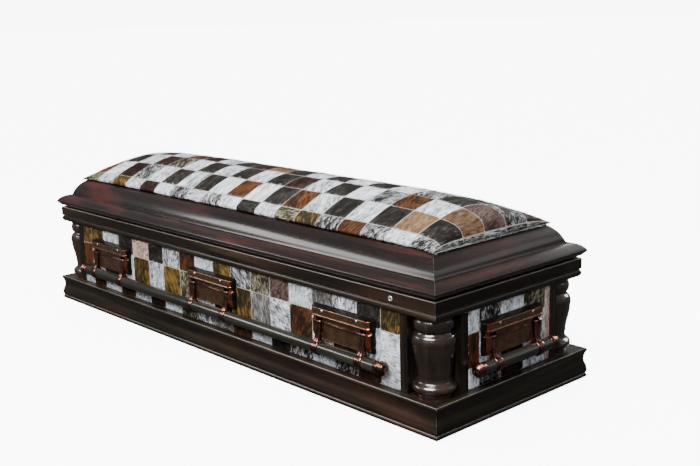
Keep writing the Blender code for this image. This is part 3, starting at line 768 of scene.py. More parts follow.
def turned_column(corner, sign_x, sign_y):
    def flattened(point):
        """Keeps the column out of its post, on the two sides that face inwards."""
        point.x = -sign_x * min(-sign_x * point.x, COLUMN_FLAT)
        point.y = -sign_y * min(-sign_y * point.y, COLUMN_FLAT)
        return point

    axis = (sign_x * (HALF_L - COLUMN_IN), sign_y * (HALF_W - COLUMN_IN), PLINTH_TOP + GAP)
    place = Matrix.Translation(axis)
    mesh = turned_shell("turned column", column_outline(), 72, place, turned_wood, 34, flattened)
    keep("turned_column_" + corner, mesh, "casket", "dark_wood", "column_" + corner)


def dress(node, finish_of):
    """Gives a CAD node that is shown as it is its finish."""
    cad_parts[node].material_slots[0].material = finish_of


for corner, signs in CORNERS.items():
    turned_column(corner, *signs)
    dress("corner_post_" + corner, dark_wood[2])
dress("bottom_board", plain_wood)
dress("lid_board", plain_wood)


# ---------------------------------------------------------------- lock

def lock_ring():
    shell = bmesh.new()
    place = Matrix.Translation(LOCK_AT) @ Matrix.Rotation(math.radians(90), 4, "X")
    line = [(0.0, -0.0100), (0.0042, -0.0100), (0.0045, -0.0095), (0.0045, 0.0008)]
    line += arc(line[-1], (0.0058, 0.0020), -0.0003, 4)
    line += arc(line[-1], (0.0089, 0.0), -0.0008, 6)
    line += [(0.0089, -0.016), (0.0, -0.016)]
    lathe(shell, line, 40, place)
    pin = [(0.0, -0.0060), (0.0014, -0.0060), (0.0018, -0.0064), (0.0018, -0.0099), (0.0, -0.0099)]
    lathe(shell, pin, 16, place)
    mesh = mesh_from(sealed(shell), "lock ring", 30)
    mesh.materials.append(lock_plate)
    keep("lock_ring", mesh, "casket", "steel", "lock_barrel")


lock_ring()


# ---------------------------------------------------------------- lugs and arms, in a lug's own frame

FIELD_HALF, BEAD_HALF, BEAD_BACK = 0.0838, 0.0800, 0.010
WALL_INNER = 0.1110
HOOD_TAPER_Z = 0.275
# height, distance out from the wall and share of the flare, from the foot of a side wall up
SIDE_WALL = (
    (0.1862, 0.0080, 0.75), (0.1880, 0.0128, 0.88), (0.1920, 0.0168, 0.96), (0.1980, 0.0198, 1.0),
    (0.2040, 0.0208, 1.0), (0.2050, 0.0224, 1.0), (0.2440, 0.0238, 1.0), (0.2455, 0.0222, 1.0),
    (0.2490, 0.0170, 0.97), (0.2580, 0.0160, 0.95),
)


def lug_finish(face):
    """Which finish a face of the casting has: 0 plain copper, 1 red copper, 2 black paint that is painted
    shade and dark reflection.
    """
    across, out, high = abs(face.center.x), -face.center.y, face.center.z
    # the faces picked below get black paint as painted shade and dark reflection
    hood_top = high > 0.2855 and face.normal.z > 0.3
    rim = across > LUG_HALF - 0.007 or high < LUG_BOTTOM + 0.0004
    foot = high < 0.194 and across > 0.100
    field = out < 0.0155 and high < 0.2566 and across < WALL_INNER
    if hood_top or rim or foot or field:
        return 2
    return 1 if across > 0.1095 else 0


def lug_shape():
    """Hood, beads, field plate, side walls and back plate, X along the wall and -Y out from it."""
    shell = bmesh.new()
    block(shell, (0.001 - LUG_HALF, -0.004, LUG_BOTTOM + 0.001), (LUG_HALF - 0.001, 0, LUG_TOP - 0.006))
    face = [(0.0, HOOD_BOTTOM), (0.0225, HOOD_BOTTOM)]
    face += arc(face[-1], (0.0272, 0.2640), -0.0024, 8)
    face += [(0.0256, 0.2655), (0.0264, 0.2672), (0.0256, 0.2825)]
    face += arc(face[-1], (0.0225, 0.2868), -0.0012, 6)
    face += [(0.0035, LUG_TOP - 0.0008), (0.0030, LUG_TOP), (0.0, LUG_TOP)]
    flare = LUG_HALF - LUG_FRONT_HALF
    turns = [math.radians(90 * k / 8) for k in range(9)]
    loops = []
    for sign, order in ((-1, turns), (1, turns[::-1])):
        for turn in order:
            along = LUG_FRONT_HALF + flare * math.cos(turn)
            thin = LUG_END_THIN + (1 - LUG_END_THIN) * math.sin(turn)
            low = 1 - 0.10 * (1 - thin)
            loops.append([
                Vector((sign * along, -out * thin, HOOD_TAPER_Z + (z - HOOD_TAPER_Z) * low)) for out, z in face
            ])
    loft(shell, loops)
    for sign in (-1, 1):
        loops = []
        for z, out, wide in SIDE_WALL:
            loop = [(LUG_FRONT_HALF + flare * wide, 0.0)]
            for turn in turns:
                thin = LUG_END_THIN + (1 - LUG_END_THIN) * math.sin(turn)
                loop.append((LUG_FRONT_HALF + flare * wide * math.cos(turn), out * thin))
            loop += [(WALL_INNER, out), (WALL_INNER, 0.0)]
            loops.append([Vector((sign * x, -y, z)) for x, y in loop])
        loft(shell, loops)
        edge = sorted((sign * 0.0805, sign * 0.0840))
        block(shell, (edge[0], -0.0178, 0.1880), (edge[1], -BEAD_BACK, 0.2555), 0.0006)
    block(shell, (-FIELD_HALF, -0.0160, LUG_BOTTOM), (FIELD_HALF, 0, HOOD_BOTTOM + 0.0005))
    block(shell, (-BEAD_HALF, -0.0172, 0.2505), (BEAD_HALF, -BEAD_BACK, 0.2540))
    block(shell, (-BEAD_HALF, -0.0168, 0.1870), (BEAD_HALF, -BEAD_BACK, 0.1895))
    mesh = mesh_from(sealed(shell), "lug casting", 40)
    mesh = rounded(mesh, "lug casting", 0.0009, 2, 38)
    mesh.materials.clear()
    for coat_of in (copper, red_copper, shade_black_copper):
        mesh.materials.append(coat_of)
    for face in mesh.polygons:
        face.material_index = lug_finish(face)
    return mesh


HOOD_SCREW, WALL_SCREW = (0.076, -0.0258, 0.2790), (0.1000, -0.0042, 0.1950)
SCREW_R, SCREW_HIGH, SCREW_SLOT, SCREW_SEED = 0.0046, 0.0021, 0.0010, 4


def screw_heads():
    """The four screws of a lug: two on its hood and one at the foot of each side wall."""
    spots = [(sign * x, y, z) for x, y, z in (HOOD_SCREW, WALL_SCREW) for sign in (-1, 1)]
    points = bpy.data.meshes.new("screw places")
    points.from_pydata(spots, [], [])
    mesh = made_by(
        screwed, points,
        {
            "Radius": SCREW_R, "Height": SCREW_HIGH, "Slot Width": SCREW_SLOT, "Seed": SCREW_SEED,
            "Head": pale_screw, "Slot": slot_shade_black,
        },
    )
    mesh.shade_smooth()
    return mesh


def there_and_back(half):
    """An outline that is the same above its middle as below it."""
    return half + [(r, -h) for r, h in reversed(half)]


def rod_outline(radius, half, cut):
    """A rod about Z, its ends cut by a chamfer."""
    return there_and_back([(0.0, -half), (radius - cut, -half), (radius, cut - half)])


KNUCKLE = there_and_back(
    [(0.0, -0.0088), (0.0056, -0.0088), (0.0070, -0.0074), (0.0075, -0.0045), (0.0067, -0.0028)]
)
CUFF = there_and_back(
    [(BAR_R + GAP, -0.0130), (0.0206, -0.0135), (0.0218, -0.0127), (0.0223, -0.0110), (0.0225, -0.0060)]
)


def arm_shape():
    """Two arms on their pivot rod, each with a knuckle above and a cuff round the bar."""
    shell = bmesh.new()
    side_on = Matrix.Rotation(math.radians(90), 4, "Y")
    pivot = Vector((0, -PIVOT_OUT, PIVOT_Z))
    bar = Vector((0, -BAR_OUT, BAR_Z))
    lathe(shell, rod_outline(PIVOT_R, 0.115, 0.0005), 20, Matrix.Translation(pivot) @ side_on)
    down = (bar - pivot).normalized()
    outward = Vector((0, -down.z, down.y))
    if outward.y > 0:
        outward.negate()
    for sign in (-1, 1):
        shift = Vector((sign * ARM_AT, 0, 0))
        lathe(shell, KNUCKLE, 24, Matrix.Translation(pivot + shift) @ side_on)
        lathe(shell, CUFF, 40, Matrix.Translation(bar + shift) @ side_on, closed=True)
        loops = []
        length = (bar - pivot).length - BAR_R - 0.0015
        for step in range(15):
            share = step / 14
            wide = 0.0170 + 0.0014 * math.sin(share * math.pi) + 0.0090 * share**1.3
            thick = 0.0095 - 0.0008 * math.sin(share * math.pi) + 0.0060 * share**1.6 + 0.0150 * share**5
            centre = pivot + shift + down * (length * share) + outward * (0.0016 * math.sin(share * math.pi))
            loop = []
            for k in range(20):
                turn = 2 * math.pi * k / 20
                c, s = math.cos(turn), math.sin(turn)
                ax = wide / 2 * math.copysign(abs(c) ** 0.6, c)
                ay = thick / 2 * math.copysign(abs(s) ** 0.75, s)
                loop.append(centre + Vector((ax, 0, 0)) + outward * ay)
            loops.append(loop)
        loft(shell, loops)
    mesh = mesh_from(sealed(shell), "arm pair", 45)
    mesh.materials.append(dark_copper)
    return mesh


def tip_outline():
    """Sleeve, three ribs and a rounded nose, from the sleeve's mouth outwards."""
    line = [(0.0, 0.0), (BAR_R + 0.0006, 0.0), (BAR_R + 0.0012, 0.0006), (BAR_R + 0.0012, 0.0130)]
    foot = 0.0135
    for _ in range(3):
        line += [(BAR_R + 0.0003, foot)]
        line += arc(line[-1], (BAR_R + 0.0003, foot + 0.0050), -0.0021, 8)
        foot += 0.0054
    line += [(BAR_R - 0.0004, 0.0298)]
    line += arc(line[-1], (0.0, TIP_LONG), -0.0042, 12)
    return line


lug_mesh, screws_mesh, arm_mesh = lug_shape(), screw_heads(), arm_shape()


def placed(mesh, place):
    copy = mesh.copy()
    copy.transform(place)
    return copy


def hang_lugs(side, centres, stand):
    """The lugs, screws and arms of one side. stand puts the front's middle lug on this side's wall."""
    for centre in centres:
        label = side
        if len(centres) > 1:
            at_x = centre if side == "front" else -centre
            label += {-1: "_left", 0: "_middle", 1: "_right"}[(at_x > 0) - (at_x < 0)]
        place = stand @ Matrix.Translation((centre, 0, 0))
        keep("casting_" + label, placed(lug_mesh, place), "casket", "copper", "lug_" + label)
        keep("screw_heads_" + label, placed(screws_mesh, place), "casket", "copper")
        arms = placed(arm_mesh, place)
        keep("swing_arms_" + label, arms, side + "_bar", "copper", "arm_pair_" + label)


def hang_bar(side, half, ends, grain, stand):
    """The carrying bar of one side and the tips on its ends, named in the order of ends."""
    body = side + "_bar"
    across = stand @ Matrix.Translation((0, -BAR_OUT, BAR_Z)) @ Matrix.Rotation(math.radians(90), 4, "Y")
    mesh = turned_shell("carrying bar", rod_outline(BAR_R, half, 0.0006), 48, across, bar_wood[grain], 30)
    keep("carrying_bar_" + side, mesh, body, "bar_wood", "bar_" + side)
    for sign, end in zip((-1, 1), ends):
        flip = Matrix.Rotation(0 if sign > 0 else math.pi, 4, "Y")
        place = across @ Matrix.Translation((0, 0, sign * (half + GAP))) @ flip
        mesh = turned_shell("ribbed tip", tip_outline(), 40, place, dark_copper, 50)
        label = side + "_" + end
        keep("ribbed_tip_" + label, mesh, body, "copper", "bar_tip_" + label)


BAR_ENDS = {
    "front": ("left", "right"), "back": ("right", "left"),
    "left": ("back", "front"), "right": ("front", "back"),
}
for side in SIDES:
    spin = Matrix.Rotation(math.radians(TURNS[side]), 4, "Z")
    if side in ("front", "back"):
        stand = spin @ Matrix.Translation((0, WALL_IN - HALF_W, 0))
        hang_lugs(side, (-LUG_SPACING, 0.0, LUG_SPACING), stand)
        hang_bar(side, LONG_BAR_HALF, BAR_ENDS[side], 0, stand)
    else:
        stand = spin @ Matrix.Translation((0, WALL_IN - HALF_L, 0))
        hang_lugs(side, (0.0,), stand)
        hang_bar(side, SHORT_BAR_HALF, BAR_ENDS[side], 1, stand)


# ---------------------------------------------------------------- patchwork of hide

# light hair, dark hair, share of dark hair, flecks in a metre across and along the hair, softness
HIDES = {
    "W": ((0.82, 0.86, 0.91), (0.19, 0.20, 0.22), 0.44, 230, 46, 0.10),  # white
    "F": ((0.78, 0.82, 0.87), (0.080, 0.075, 0.080), 0.51, 300, 50, 0.08),  # white with grey flecks
    "S": ((0.64, 0.65, 0.67), (0.012, 0.010, 0.009), 0.63, 300, 44, 0.07),  # black and white marbled
    "E": ((0.34, 0.31, 0.20), (0.018, 0.018, 0.011), 0.60, 210, 46, 0.07),  # olive and cream brindle
    "G": ((0.080, 0.071, 0.060), (0.0085, 0.0075, 0.0062), 0.72, 240, 50, 0.12),  # dark grey
    "K": ((0.060, 0.052, 0.045), (0.006, 0.005, 0.004), 0.66, 230, 50, 0.12),  # black
    "B": ((0.055, 0.023, 0.015), (0.0085, 0.0046, 0.0038), 0.62, 210, 46, 0.13),  # dark brown
    "R": ((0.145, 0.050, 0.0145), (0.016, 0.0080, 0.0052), 0.57, 150, 30, 0.11),  # rust
    "T": ((0.25, 0.150, 0.084), (0.070, 0.036, 0.019), 0.50, 170, 36, 0.14),  # tan
    "O": ((0.215, 0.126, 0.028), (0.018, 0.0145, 0.0072), 0.60, 150, 30, 0.10),  # gold and olive
    "A": ((0.30, 0.285, 0.275), (0.055, 0.050, 0.046), 0.54, 220, 46, 0.12),  # ash
    "M": ((0.155, 0.100, 0.090), (0.042, 0.022, 0.019), 0.52, 230, 46, 0.12),  # brown under grey
    "P": ((0.60, 0.46, 0.40), (0.20, 0.115, 0.080), 0.46, 220, 50, 0.10),  # blush
}


EDGE_HIDE = "S"  # the strip round each end of the cushion
EDGE_STRIP = 0.02
SEAM_WIDTH = 1.6  # millimetres on each side of a seam that carry no hair
TURNED_SHARE = 0.16  # patches whose hair lies a quarter turn round
MARK_SPREAD = 0.55
STRANDS_ACROSS, STRANDS_ALONG = 820, 42


def patch_counts(mesh):
    """How many patches along and up each point of a grid mesh is."""
    return [read(mesh.attributes[name].data, "value") for name in ("gu", "gv")]


def columns_of(*values):
    """Three values side by side, each a number or one for every face corner."""
    return np.stack(np.broadcast_arrays(*values), 1)


def corner_side(normals):
    """A direction in the surface at each face corner, square to the casket's length or width."""
    side = np.cross(normals, (1.0, 0.0, 0.0))
    lost = np.linalg.norm(side, axis=1) < 0.25
    side[lost] = np.cross(normals[lost], (0.0, -1.0, 0.0))
    return side / np.maximum(np.linalg.norm(side, axis=1), 1e-6)[:, None]


def hide_attributes(mesh, columns, rows, plan, pitch, seed):
    """Gives each patch its hair colours and lie. pitch is the size of a patch along and up.

    The attributes are on face corners, so that two patches never mix across a seam.
    """
    loops, faces = len(mesh.loops), len(mesh.polygons)
    gu, gv = patch_counts(mesh)
    vert = read(mesh.loops, "vertex_index", kind=int)
    starts, totals, finish_of = (
        read(mesh.polygons, field, kind=int) for field in ("loop_start", "loop_total", "material_index")
    )
    owner = np.repeat(np.arange(faces), totals)
    mean_u = np.add.reduceat(gu[vert], starts) / totals
    mean_v = np.add.reduceat(gv[vert], starts) / totals
    column = np.clip(np.floor(mean_u).astype(int), -1, columns)
    row = np.clip(np.floor(mean_v).astype(int), 0, rows - 1)
    normals = read(mesh.corner_normals, "vector", 3)
    side = corner_side(normals)
    level = np.cross(side, normals)
    draw = random.Random(seed)
    light, dark = np.ones((loops, 4)), np.ones((loops, 4))
    fleck, strand, blend, lie = (np.zeros((loops, 3)) for _ in range(4))
    hairy = np.zeros(loops)
    for c in range(-1, columns + 1):
        for r in range(rows):
            kind = EDGE_HIDE if c in (-1, columns) else plan[r][c]
            pale, deep, share, flecks_across, flecks_along, soft = HIDES[kind]
            lean = draw.uniform(-0.5, 0.5) + (math.pi / 2 if draw.random() < TURNED_SHARE else 0)
            tone = draw.uniform(0.88, 1.12)
            shift = [draw.uniform(0, 40) for _ in range(3)]
            share += draw.uniform(-0.05, 0.05)
            mine = (column[owner] == c) & (row[owner] == r) & (finish_of[owner] == 0)
            if not mine.any():
                continue
            u, v = gu[vert[mine]] - c, gv[vert[mine]] - r
            x, y = u * pitch[0], v * pitch[1]
            along = x * math.sin(lean) + y * math.cos(lean)
            across = x * math.cos(lean) - y * math.sin(lean)
            light[mine, :3] = np.array(pale) * tone
            dark[mine, :3] = np.array(deep) * tone
            fleck[mine] = columns_of(
                across * flecks_across + shift[0], along * flecks_along + shift[1], shift[2],
            )
            strand[mine] = columns_of(
                across * STRANDS_ACROSS + shift[1], along * STRANDS_ALONG + shift[0], shift[2],
            )
            edge_u = np.minimum(u, 1 - u) * (pitch[0] if 0 <= c < columns else EDGE_STRIP)
            edge_v = np.minimum(v, 1 - v) * pitch[1]
            edge = 1000 * np.minimum(np.abs(edge_u), np.abs(edge_v))
            blend[mine] = columns_of(0.5 + (share - 0.5) * MARK_SPREAD, soft, edge)
            hairy[mine] = edge > SEAM_WIDTH
            lie[mine] = level[mine] * math.sin(lean) + side[mine] * math.cos(lean)
    for name, kind, values in (
        ("light", "FLOAT_COLOR", light), ("dark", "FLOAT_COLOR", dark), ("fleck", "FLOAT_VECTOR", fleck),
        ("strand", "FLOAT_VECTOR", strand), ("blend", "FLOAT_VECTOR", blend), ("lie", "FLOAT_VECTOR", lie),
        ("hairy", "FLOAT", hairy),
    ):
        layer = mesh.attributes.new(name, kind, "CORNER")
        field = {"FLOAT_COLOR": "color", "FLOAT_VECTOR": "vector", "FLOAT": "value"}[kind]
        layer.data.foreach_set(field, values.ravel())


def stations(seams, cells):
    """Positions across patches between seams, each with its patch count so far."""
    found = []
    for k, (start, end) in enumerate(zip(seams, seams[1:])):
        for n in range(cells):
            found.append((start + (end - start) * n / cells, k + n / cells))
    return found + [(seams[-1], len(seams) - 1.0)]


def pillow(u, v):
    """0 on a patch's seams and 1 over most of its middle."""
    fu, fv = abs(2 * (u % 1) - 1), abs(2 * (v % 1) - 1)
    return (1 - fu**7) * (1 - fv**7)


def grid_mesh(name, across, up, point, close):
    """A grid of points, closed behind by close(grid of verts). Keeps the patch counts on each point."""
    bm = bmesh.new()
    gu, gv = bm.verts.layers.float.new("gu"), bm.verts.layers.float.new("gv")
    grid = []
    for x, u in across:
        line = []
        for y, v in up:
            vert = bm.verts.new(point(x, y, u, v))
            vert[gu], vert[gv] = u, v
            line.append(vert)
        grid.append(line)
    for first, second in zip(grid, grid[1:]):
        for k in range(len(up) - 1):
            bm.faces.new((first[k], second[k], second[k + 1], first[k + 1]))
    close(bm, grid)
    bm.normal_update()
    mesh = bpy.data.meshes.new(name)
    bm.to_mesh(mesh)
    bm.free()
    mesh.shade_smooth()
    return mesh


def floor_strips(bm, grid, finish_index=0):
    """Closes a rectangular grid's outline with strips from one long edge to the other."""
    inner = grid[1:-1]
    outlines = [(a[0], a[-1], b[-1], b[0]) for a, b in zip(inner, inner[1:])]
    outlines.append(list(grid[0]) + [grid[1][-1], grid[1][0]])
    outlines.append(list(reversed(grid[-1])) + [grid[-2][0], grid[-2][-1]])
    for outline in outlines:
        bm.faces.new(outline).material_index = finish_index


# seams of the panels along a side, and up it
FRONT_SEAMS = (
    -0.904, -0.835, -0.744, -0.627, -0.523, -0.414, -0.315, -0.207, -0.109, 0.001, 0.103, 0.212, 0.313, 0.412,
    0.522, 0.619, 0.724, 0.825, 0.904,
)
END_SEAMS = (-0.1887, -0.139, -0.043, 0.062, 0.166, 0.1887)
PANEL_ROWS = (PLINTH_TOP + GAP, 0.160, 0.264, BODY_TOP)
# which hide each patch is cut from, bottom row first
PANEL_PLANS = {
    "front": ("WRWBFBWEFARWGSWSBW", "RWKWOFOEWGOAFRWGWW", "OOWGPKFRWOSEMWAFGO"),
    "back": ("WSBWGRWKFWOBWSWGRW", "GWRFWKWOSWBWRFGWKW", "WBFGWRWSKWOFWGBWRS"),
    "right": ("WSBWP", "RWGWP", "WSWEP"),
    "left": ("KWGFW", "WRWSB", "GWOWK"),
}
PANEL_PATCH, PAD_PATCH = (0.1035, 0.1), (0.1027, 0.1)
PAD_COLUMNS, PAD_ROWS = 19, 6
PAD_LAST_SEAM, PAD_PITCH = 0.88, 0.10265
PAD_SEAMS_X = (
    -PAD_HALF[0],
    *(round(PAD_LAST_SEAM - PAD_PITCH * k, 5) for k in range(PAD_COLUMNS - 2, -1, -1)),
    PAD_HALF[0],
)
PAD_SEAMS_Y = (-PAD_HALF[1], -0.222, -0.127, -0.033, 0.066, 0.163, PAD_HALF[1])
PATCH_CELLS = 10
PANEL_PROUD, PANEL_SWELL, PANEL_WAVE = 0.0002, 0.0019, 0.0005
HAIR_WIDTH, HAIR_LIFT = 0.0011, 0.20
PANEL_HAIRS, PANEL_HAIR_LENGTH = 42000, 0.013
PAD_HAIRS, PAD_HAIR_LENGTH = 31000, 0.0135
PAD_PLAN = (
    "EFOFBWSFSWGWEOSRSWS", "RWBSWGFGWRWGRFGWKTG", "WKFBEWGFGWGBFGWSRWT",
    "RWBWRBWKBTKWKWGWSGM", "WGWBWSGWRWGKWBWKFKS", "SWOWKWBFGWRWSFBWGWB",
)


def coat(label, sheet, density, length, slot, seed):
    """The hair on a sheet, as a piece of its own, with its density in hairs on a square metre."""
    mesh = made_by(
        haired, sheet.copy(),
        {
            "Density": density, "Length": length, "Width": HAIR_WIDTH, "Lift": HAIR_LIFT,
            "Seed": seed, "Finish": hide,
        },
    )
    mesh.shade_smooth()
    keep(label, mesh, "casket", slot)


def hide_panel(side, seams, seed):
    """A board with patches of hide on its face, made for the front and turned to its side."""
    long_side = side in ("front", "back")
    face = (HALF_W if long_side else HALF_L) - PANEL_FACE_IN
    rear = (HALF_W if long_side else HALF_L) - PANEL_BACK_IN
    rows = len(PANEL_ROWS) - 1

    def point(x, z, u, v):
        swell = PANEL_SWELL * pillow(u, v)
        wave = PANEL_WAVE * noise.noise(Vector((x * 26, z * 26, seed)))
        inside = 0 < u < len(seams) - 1 and 0 < v < rows
        return (x, -(face + PANEL_PROUD + (swell + wave) * inside), z)

    def close(bm, grid):
        """The board's edges and its back, in plain wood."""
        rim = [line[0] for line in grid] + grid[-1][1:] + [line[-1] for line in reversed(grid[:-1])]
        rim += list(reversed(grid[0][1:-1]))
        behind = {v: bm.verts.new((v.co.x, -rear, v.co.z)) for v in rim}
        for first, second in zip(rim, rim[1:] + rim[:1]):
            bm.faces.new((second, first, behind[first], behind[second])).material_index = 1
        back = [[behind.get(v) for v in line] for line in grid]
        floor_strips(bm, [back[0]] + [[line[0], line[-1]] for line in back[1:-1]] + [back[-1]], 1)

    across, up = stations(seams, PATCH_CELLS), stations(PANEL_ROWS, PATCH_CELLS)
    mesh = grid_mesh("patchwork", across, up, point, close)
    hide_attributes(mesh, len(seams) - 1, rows, PANEL_PLANS[side], PANEL_PATCH, seed)
    mesh.transform(Matrix.Rotation(math.radians(TURNS[side]), 4, "Z"))
    turn_lie(mesh, math.radians(TURNS[side]))
    mesh.materials.append(hide)
    mesh.materials.append(plain_wood)
    keep("patchwork_" + side, mesh, "casket", "hide", "hide_panel_" + side)
    coat("panel_hair_" + side, mesh, PANEL_HAIRS, PANEL_HAIR_LENGTH, "hide", seed)


def turn_lie(mesh, angle):
    """Turns the lie of the hair about Z with its panel."""
    layer = mesh.attributes["lie"]
    x, y, z = read(layer.data, "vector", 3).T
    c, s = math.cos(angle), math.sin(angle)
    layer.data.foreach_set("vector", columns_of(x * c - y * s, x * s + y * c, z).ravel())


for number, side in enumerate(SIDES):
    hide_panel(side, FRONT_SEAMS if side in ("front", "back") else END_SEAMS, 11 + number)


# ---------------------------------------------------------------- cushion on the lid

def dome(x, y):
    """Height of the cushion above its rim."""
    u, v = min(1.0, abs(x) / PAD_HALF[0]), min(1.0, abs(y) / PAD_HALF[1])
    return PAD_CROWN * (1 - u**6.5) ** 0.32 * (1 - v**1.7) ** 0.85


# the cushion's turned-under side: distance from the middle and share of the rim's height
PAD_SIDE_X = ((0.963, 0.0), (0.9685, 0.25), (0.9700, 0.62))
PAD_SIDE_Y = ((0.248, 0.0), (0.2535, 0.25), (0.2550, 0.62))
CORNER_DRAWN = (0.010, 0.012)


def with_sides(top, side, first, last, step):
    """Stations on the top, each (place, share of the rim's height) and patch count, between two sides."""
    before = [((-at, high), first + step * k) for k, (at, high) in enumerate(side)]
    after = [((at, high), last + step * k) for k, (at, high) in enumerate(reversed(side))]
    return before + top + after


def cushion_mesh():
    """The cushion's cover, sewn flat on the dome, before it is filled."""
    left, next_left, *_, next_right, right = PAD_SEAMS_X
    across, up = [], []
    for x, u in stations(PAD_SEAMS_X, PATCH_CELLS):
        if u < 1:
            x = left + (next_left - left) * (u % 1) ** 1.7
        if u > PAD_COLUMNS - 1:
            x = right - (right - next_right) * (PAD_COLUMNS - u) ** 1.7
        across.append(((x, 1.0), u))
    for y, v in stations(PAD_SEAMS_Y, PATCH_CELLS):
        if v < 1:
            v = 0.35 + 0.65 * v
        if v > PAD_ROWS - 1:
            v = PAD_ROWS - 1 + 0.65 * (v - PAD_ROWS + 1)
        up.append(((y, 1.0), v))
    # the ends' sides are strips of their own, and the outer patches run on over the long sides
    across = with_sides(across, PAD_SIDE_X, -0.9, PAD_COLUMNS + 0.3, 0.3)
    up = with_sides(up, PAD_SIDE_Y, 0.02, PAD_ROWS - 0.24, 0.11)

    def point(x, y, u, v):
        (x, rise_x), (y, rise_y) = x, y
        rise = min(rise_x, rise_y)
        pinch = min(1.0, abs(x) / PAD_HALF[0]) ** 22 * min(1.0, abs(y) / PAD_HALF[1]) ** 7
        high = PAD_RIM * rise * (1 - 0.60 * pinch)
        if rise == 1.0:
            high += dome(x, y) - 0.0015
        drawn = [math.copysign(far * pinch, at) for far, at in zip(CORNER_DRAWN, (x, y))]
        return (x + drawn[0], y + drawn[1], PAD_BASE + high)

    return grid_mesh("cushion cover", across, up, point, floor_strips)


FILLING_FRAMES, FILLING_REACH = 20, 0.0042


def filled(mesh):
    """Blows the cover up with cloth, held at its seams and its underside, and limits how far it moves."""
    obj = object_with("cushion filling", mesh)
    start = read(mesh.vertices, "co", 3)
    gu, gv = patch_counts(mesh)
    held = (np.abs(gu - np.round(gu)) < 0.01) | (np.abs(gv - np.round(gv)) < 0.01)
    held |= start[:, 2] < PAD_BASE + PAD_RIM * 0.7
    group = obj.vertex_groups.new(name="sewn")
    group.add([int(k) for k in np.nonzero(held)[0]], 1.0, "REPLACE")
    cloth = obj.modifiers.new("fill", "CLOTH")
    cloth.settings.vertex_group_mass = "sewn"
    cloth.settings.quality = 4
    cloth.settings.mass = 0.3
    cloth.settings.tension_stiffness = cloth.settings.compression_stiffness = 12
    cloth.settings.bending_stiffness = 0.6
    cloth.settings.use_pressure = True
    cloth.settings.uniform_pressure_force = 4
    cloth.settings.effector_weights.gravity = 0
    cloth.collision_settings.use_collision = False
    cloth.point_cache.frame_start, cloth.point_cache.frame_end = 1, FILLING_FRAMES
    for number in range(1, FILLING_FRAMES + 1):
        scene.frame_set(number)
    blown = settled(obj)
    moved = read(blown.vertices, "co", 3) - start
    far = np.linalg.norm(moved, axis=1)
    moved *= np.minimum(1.0, FILLING_REACH / np.maximum(far, 1e-9))[:, None]
    blown.vertices.foreach_set("co", (start + moved).ravel())
    scene.frame_set(1)
    return blown


def pushed(mesh, amount):
    """Moves each point along its normal by amount(point, patches along, patches up)."""
    place, normals = read(mesh.vertices, "co", 3), read(mesh.vertex_normals, "vector", 3)
    steps = np.array([amount(Vector(p), u, v) for p, u, v in zip(place, *patch_counts(mesh))])
    mesh.vertices.foreach_set("co", (place + normals * steps[:, None]).ravel())
    mesh.update()
    return mesh


def unevenness(point, u, v):
    """The slight lumps of a filled cover, above its underside."""
    lumps = noise.noise(point * 21) + 0.5 * noise.noise(point * 48)
    return 0.0011 * lumps if point.z > PAD_BASE + 0.004 else 0.0


def cushion():
    mesh = cushion_mesh()
    mesh = filled(mesh)
    obj = object_with("cushion", mesh)
    smooth = obj.modifiers.new("smooth", "SUBSURF")
    smooth.levels = smooth.render_levels = 1
    mesh = settled(obj)
    pushed(mesh, unevenness)
    mesh.shade_smooth()
    hide_attributes(mesh, PAD_COLUMNS, PAD_ROWS, PAD_PLAN, PAD_PATCH, 31)
    mesh.materials.clear()
    mesh.materials.append(hide)
    piece = keep("lid_cushion", mesh, "casket", "pad_hide", "lid_pad")
    coat("cushion_hair", mesh, PAD_HAIRS, PAD_HAIR_LENGTH, "pad_hide", 32)


cushion()


# ---------------------------------------------------------------- floor and lights

FLOOR_REACH, FLOOR_WALL, FLOOR_SIDES = 60, 14, 64


def glowing_floor():
    """A round white floor with a wall, left out of reflections and of bounce light."""
    turns = [2 * math.pi * k / FLOOR_SIDES for k in range(FLOOR_SIDES)]
    ring = [(FLOOR_REACH * math.cos(t), FLOOR_REACH * math.sin(t)) for t in turns]
    floor = bpy.data.meshes.new("studio floor")
    pairs = [(k, (k + 1) % FLOOR_SIDES) for k in range(FLOOR_SIDES)]
    walls = [(a, b, b + FLOOR_SIDES, a + FLOOR_SIDES) for a, b in pairs]
    verts = [(x, y, z) for z in (0, FLOOR_WALL) for x, y in ring]
    floor.from_pydata(verts, [], [tuple(range(FLOOR_SIDES))] + walls)
    mat, tree, shader = finish(
        "pale floor", (0.86, 0.86, 0.86), 0.7, Specular_IOR_Level=0.1, Emission_Strength=8.0,
    )
    shader.inputs["Emission Color"].default_value = (0.97, 0.985, 1.0, 1)
    mottle = speckle(tree, stretched(tree, (2.0, 2.0, 2.0)))
    tree.links.new(mixed(tree, mottle, (0.85, 0.85, 0.85), (0.88, 0.88, 0.88)), shader.inputs["Base Color"])
    ground = object_with("studio_floor", floor, mat)
    ground.visible_diffuse = ground.visible_glossy = False


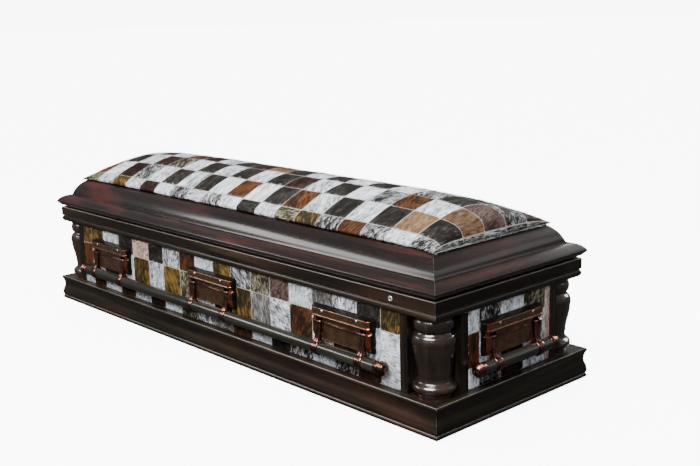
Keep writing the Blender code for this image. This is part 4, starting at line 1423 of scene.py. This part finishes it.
def dim_air():
    """A dim world, darker below than above."""
    world = bpy.data.worlds.new("studio air")
    scene.world = world
    world.use_nodes = True
    tree = world.node_tree
    way = add(tree, "ShaderNodeTexCoord")
    high = add(tree, "ShaderNodeSeparateXYZ", {0: way.outputs["Generated"]}).outputs[2]
    air = tree.nodes["Background"]
    air.inputs["Color"].default_value = (0.94, 0.97, 1.0, 1)
    tree.links.new(ranged(tree, high, -0.30, 0.95, 0.10, 0.40), air.inputs["Strength"])


def lamp(name, kind, place, target, power, use, **settings):
    """A lamp that gives soft light only ("fill"), gloss only ("gloss"), or both."""
    data = bpy.data.lights.new(name, kind)
    data.energy = power
    for key, value in settings.items():
        setattr(data, key, value)
    obj = bpy.data.objects.new(name, data)
    obj.visible_glossy = use != "fill"
    obj.visible_diffuse = use != "gloss"
    scene.collection.objects.link(obj)
    way = Vector(target) - Vector(place)
    turn = way.to_track_quat("-Z", "Y").to_matrix().to_4x4()
    obj.matrix_world = Matrix.Translation(place) @ turn


def wide_lamp(name, place, degrees, power):
    lamp(name, "SUN", place, (0, 0, 0), power, "fill", angle=math.radians(degrees))


def softbox(name, place, target, power, use, long, high):
    lamp(name, "AREA", place, target, power, use, shape="RECTANGLE", size=long, size_y=high)


glowing_floor()
dim_air()
wide_lamp("soft sky", (-0.8, -1.7, 4.2), 70, 3.3)
wide_lamp("side fill", (3.4, -1.7, 1.5), 60, 1.1)
wide_lamp("back fill", (-2.6, 3.0, 2.2), 60, 1.3)
softbox("corner fill", (1.5, -2.4, 2.8), (0.95, -0.25, 0.25), 200, "fill", 3.0, 2.1)
softbox("long softbox", (-1.75, -2.05, 1.5), (0.6, -0.3, 0.35), 34, "both", 1.5, 0.6)
softbox("corner softbox", (1.3, -2.3, 2.7), (1.0, -0.28, 0.2), 520, "gloss", 2.4, 1.9)
softbox("end softbox", (3.6, 2.6, 1.9), (0.8, 0, 0.35), 8, "gloss", 2.2, 0.8)
softbox("back softbox", (0.5, 3.4, 1.7), (0, 0.3, 0.35), 90, "gloss", 2.6, 0.8)
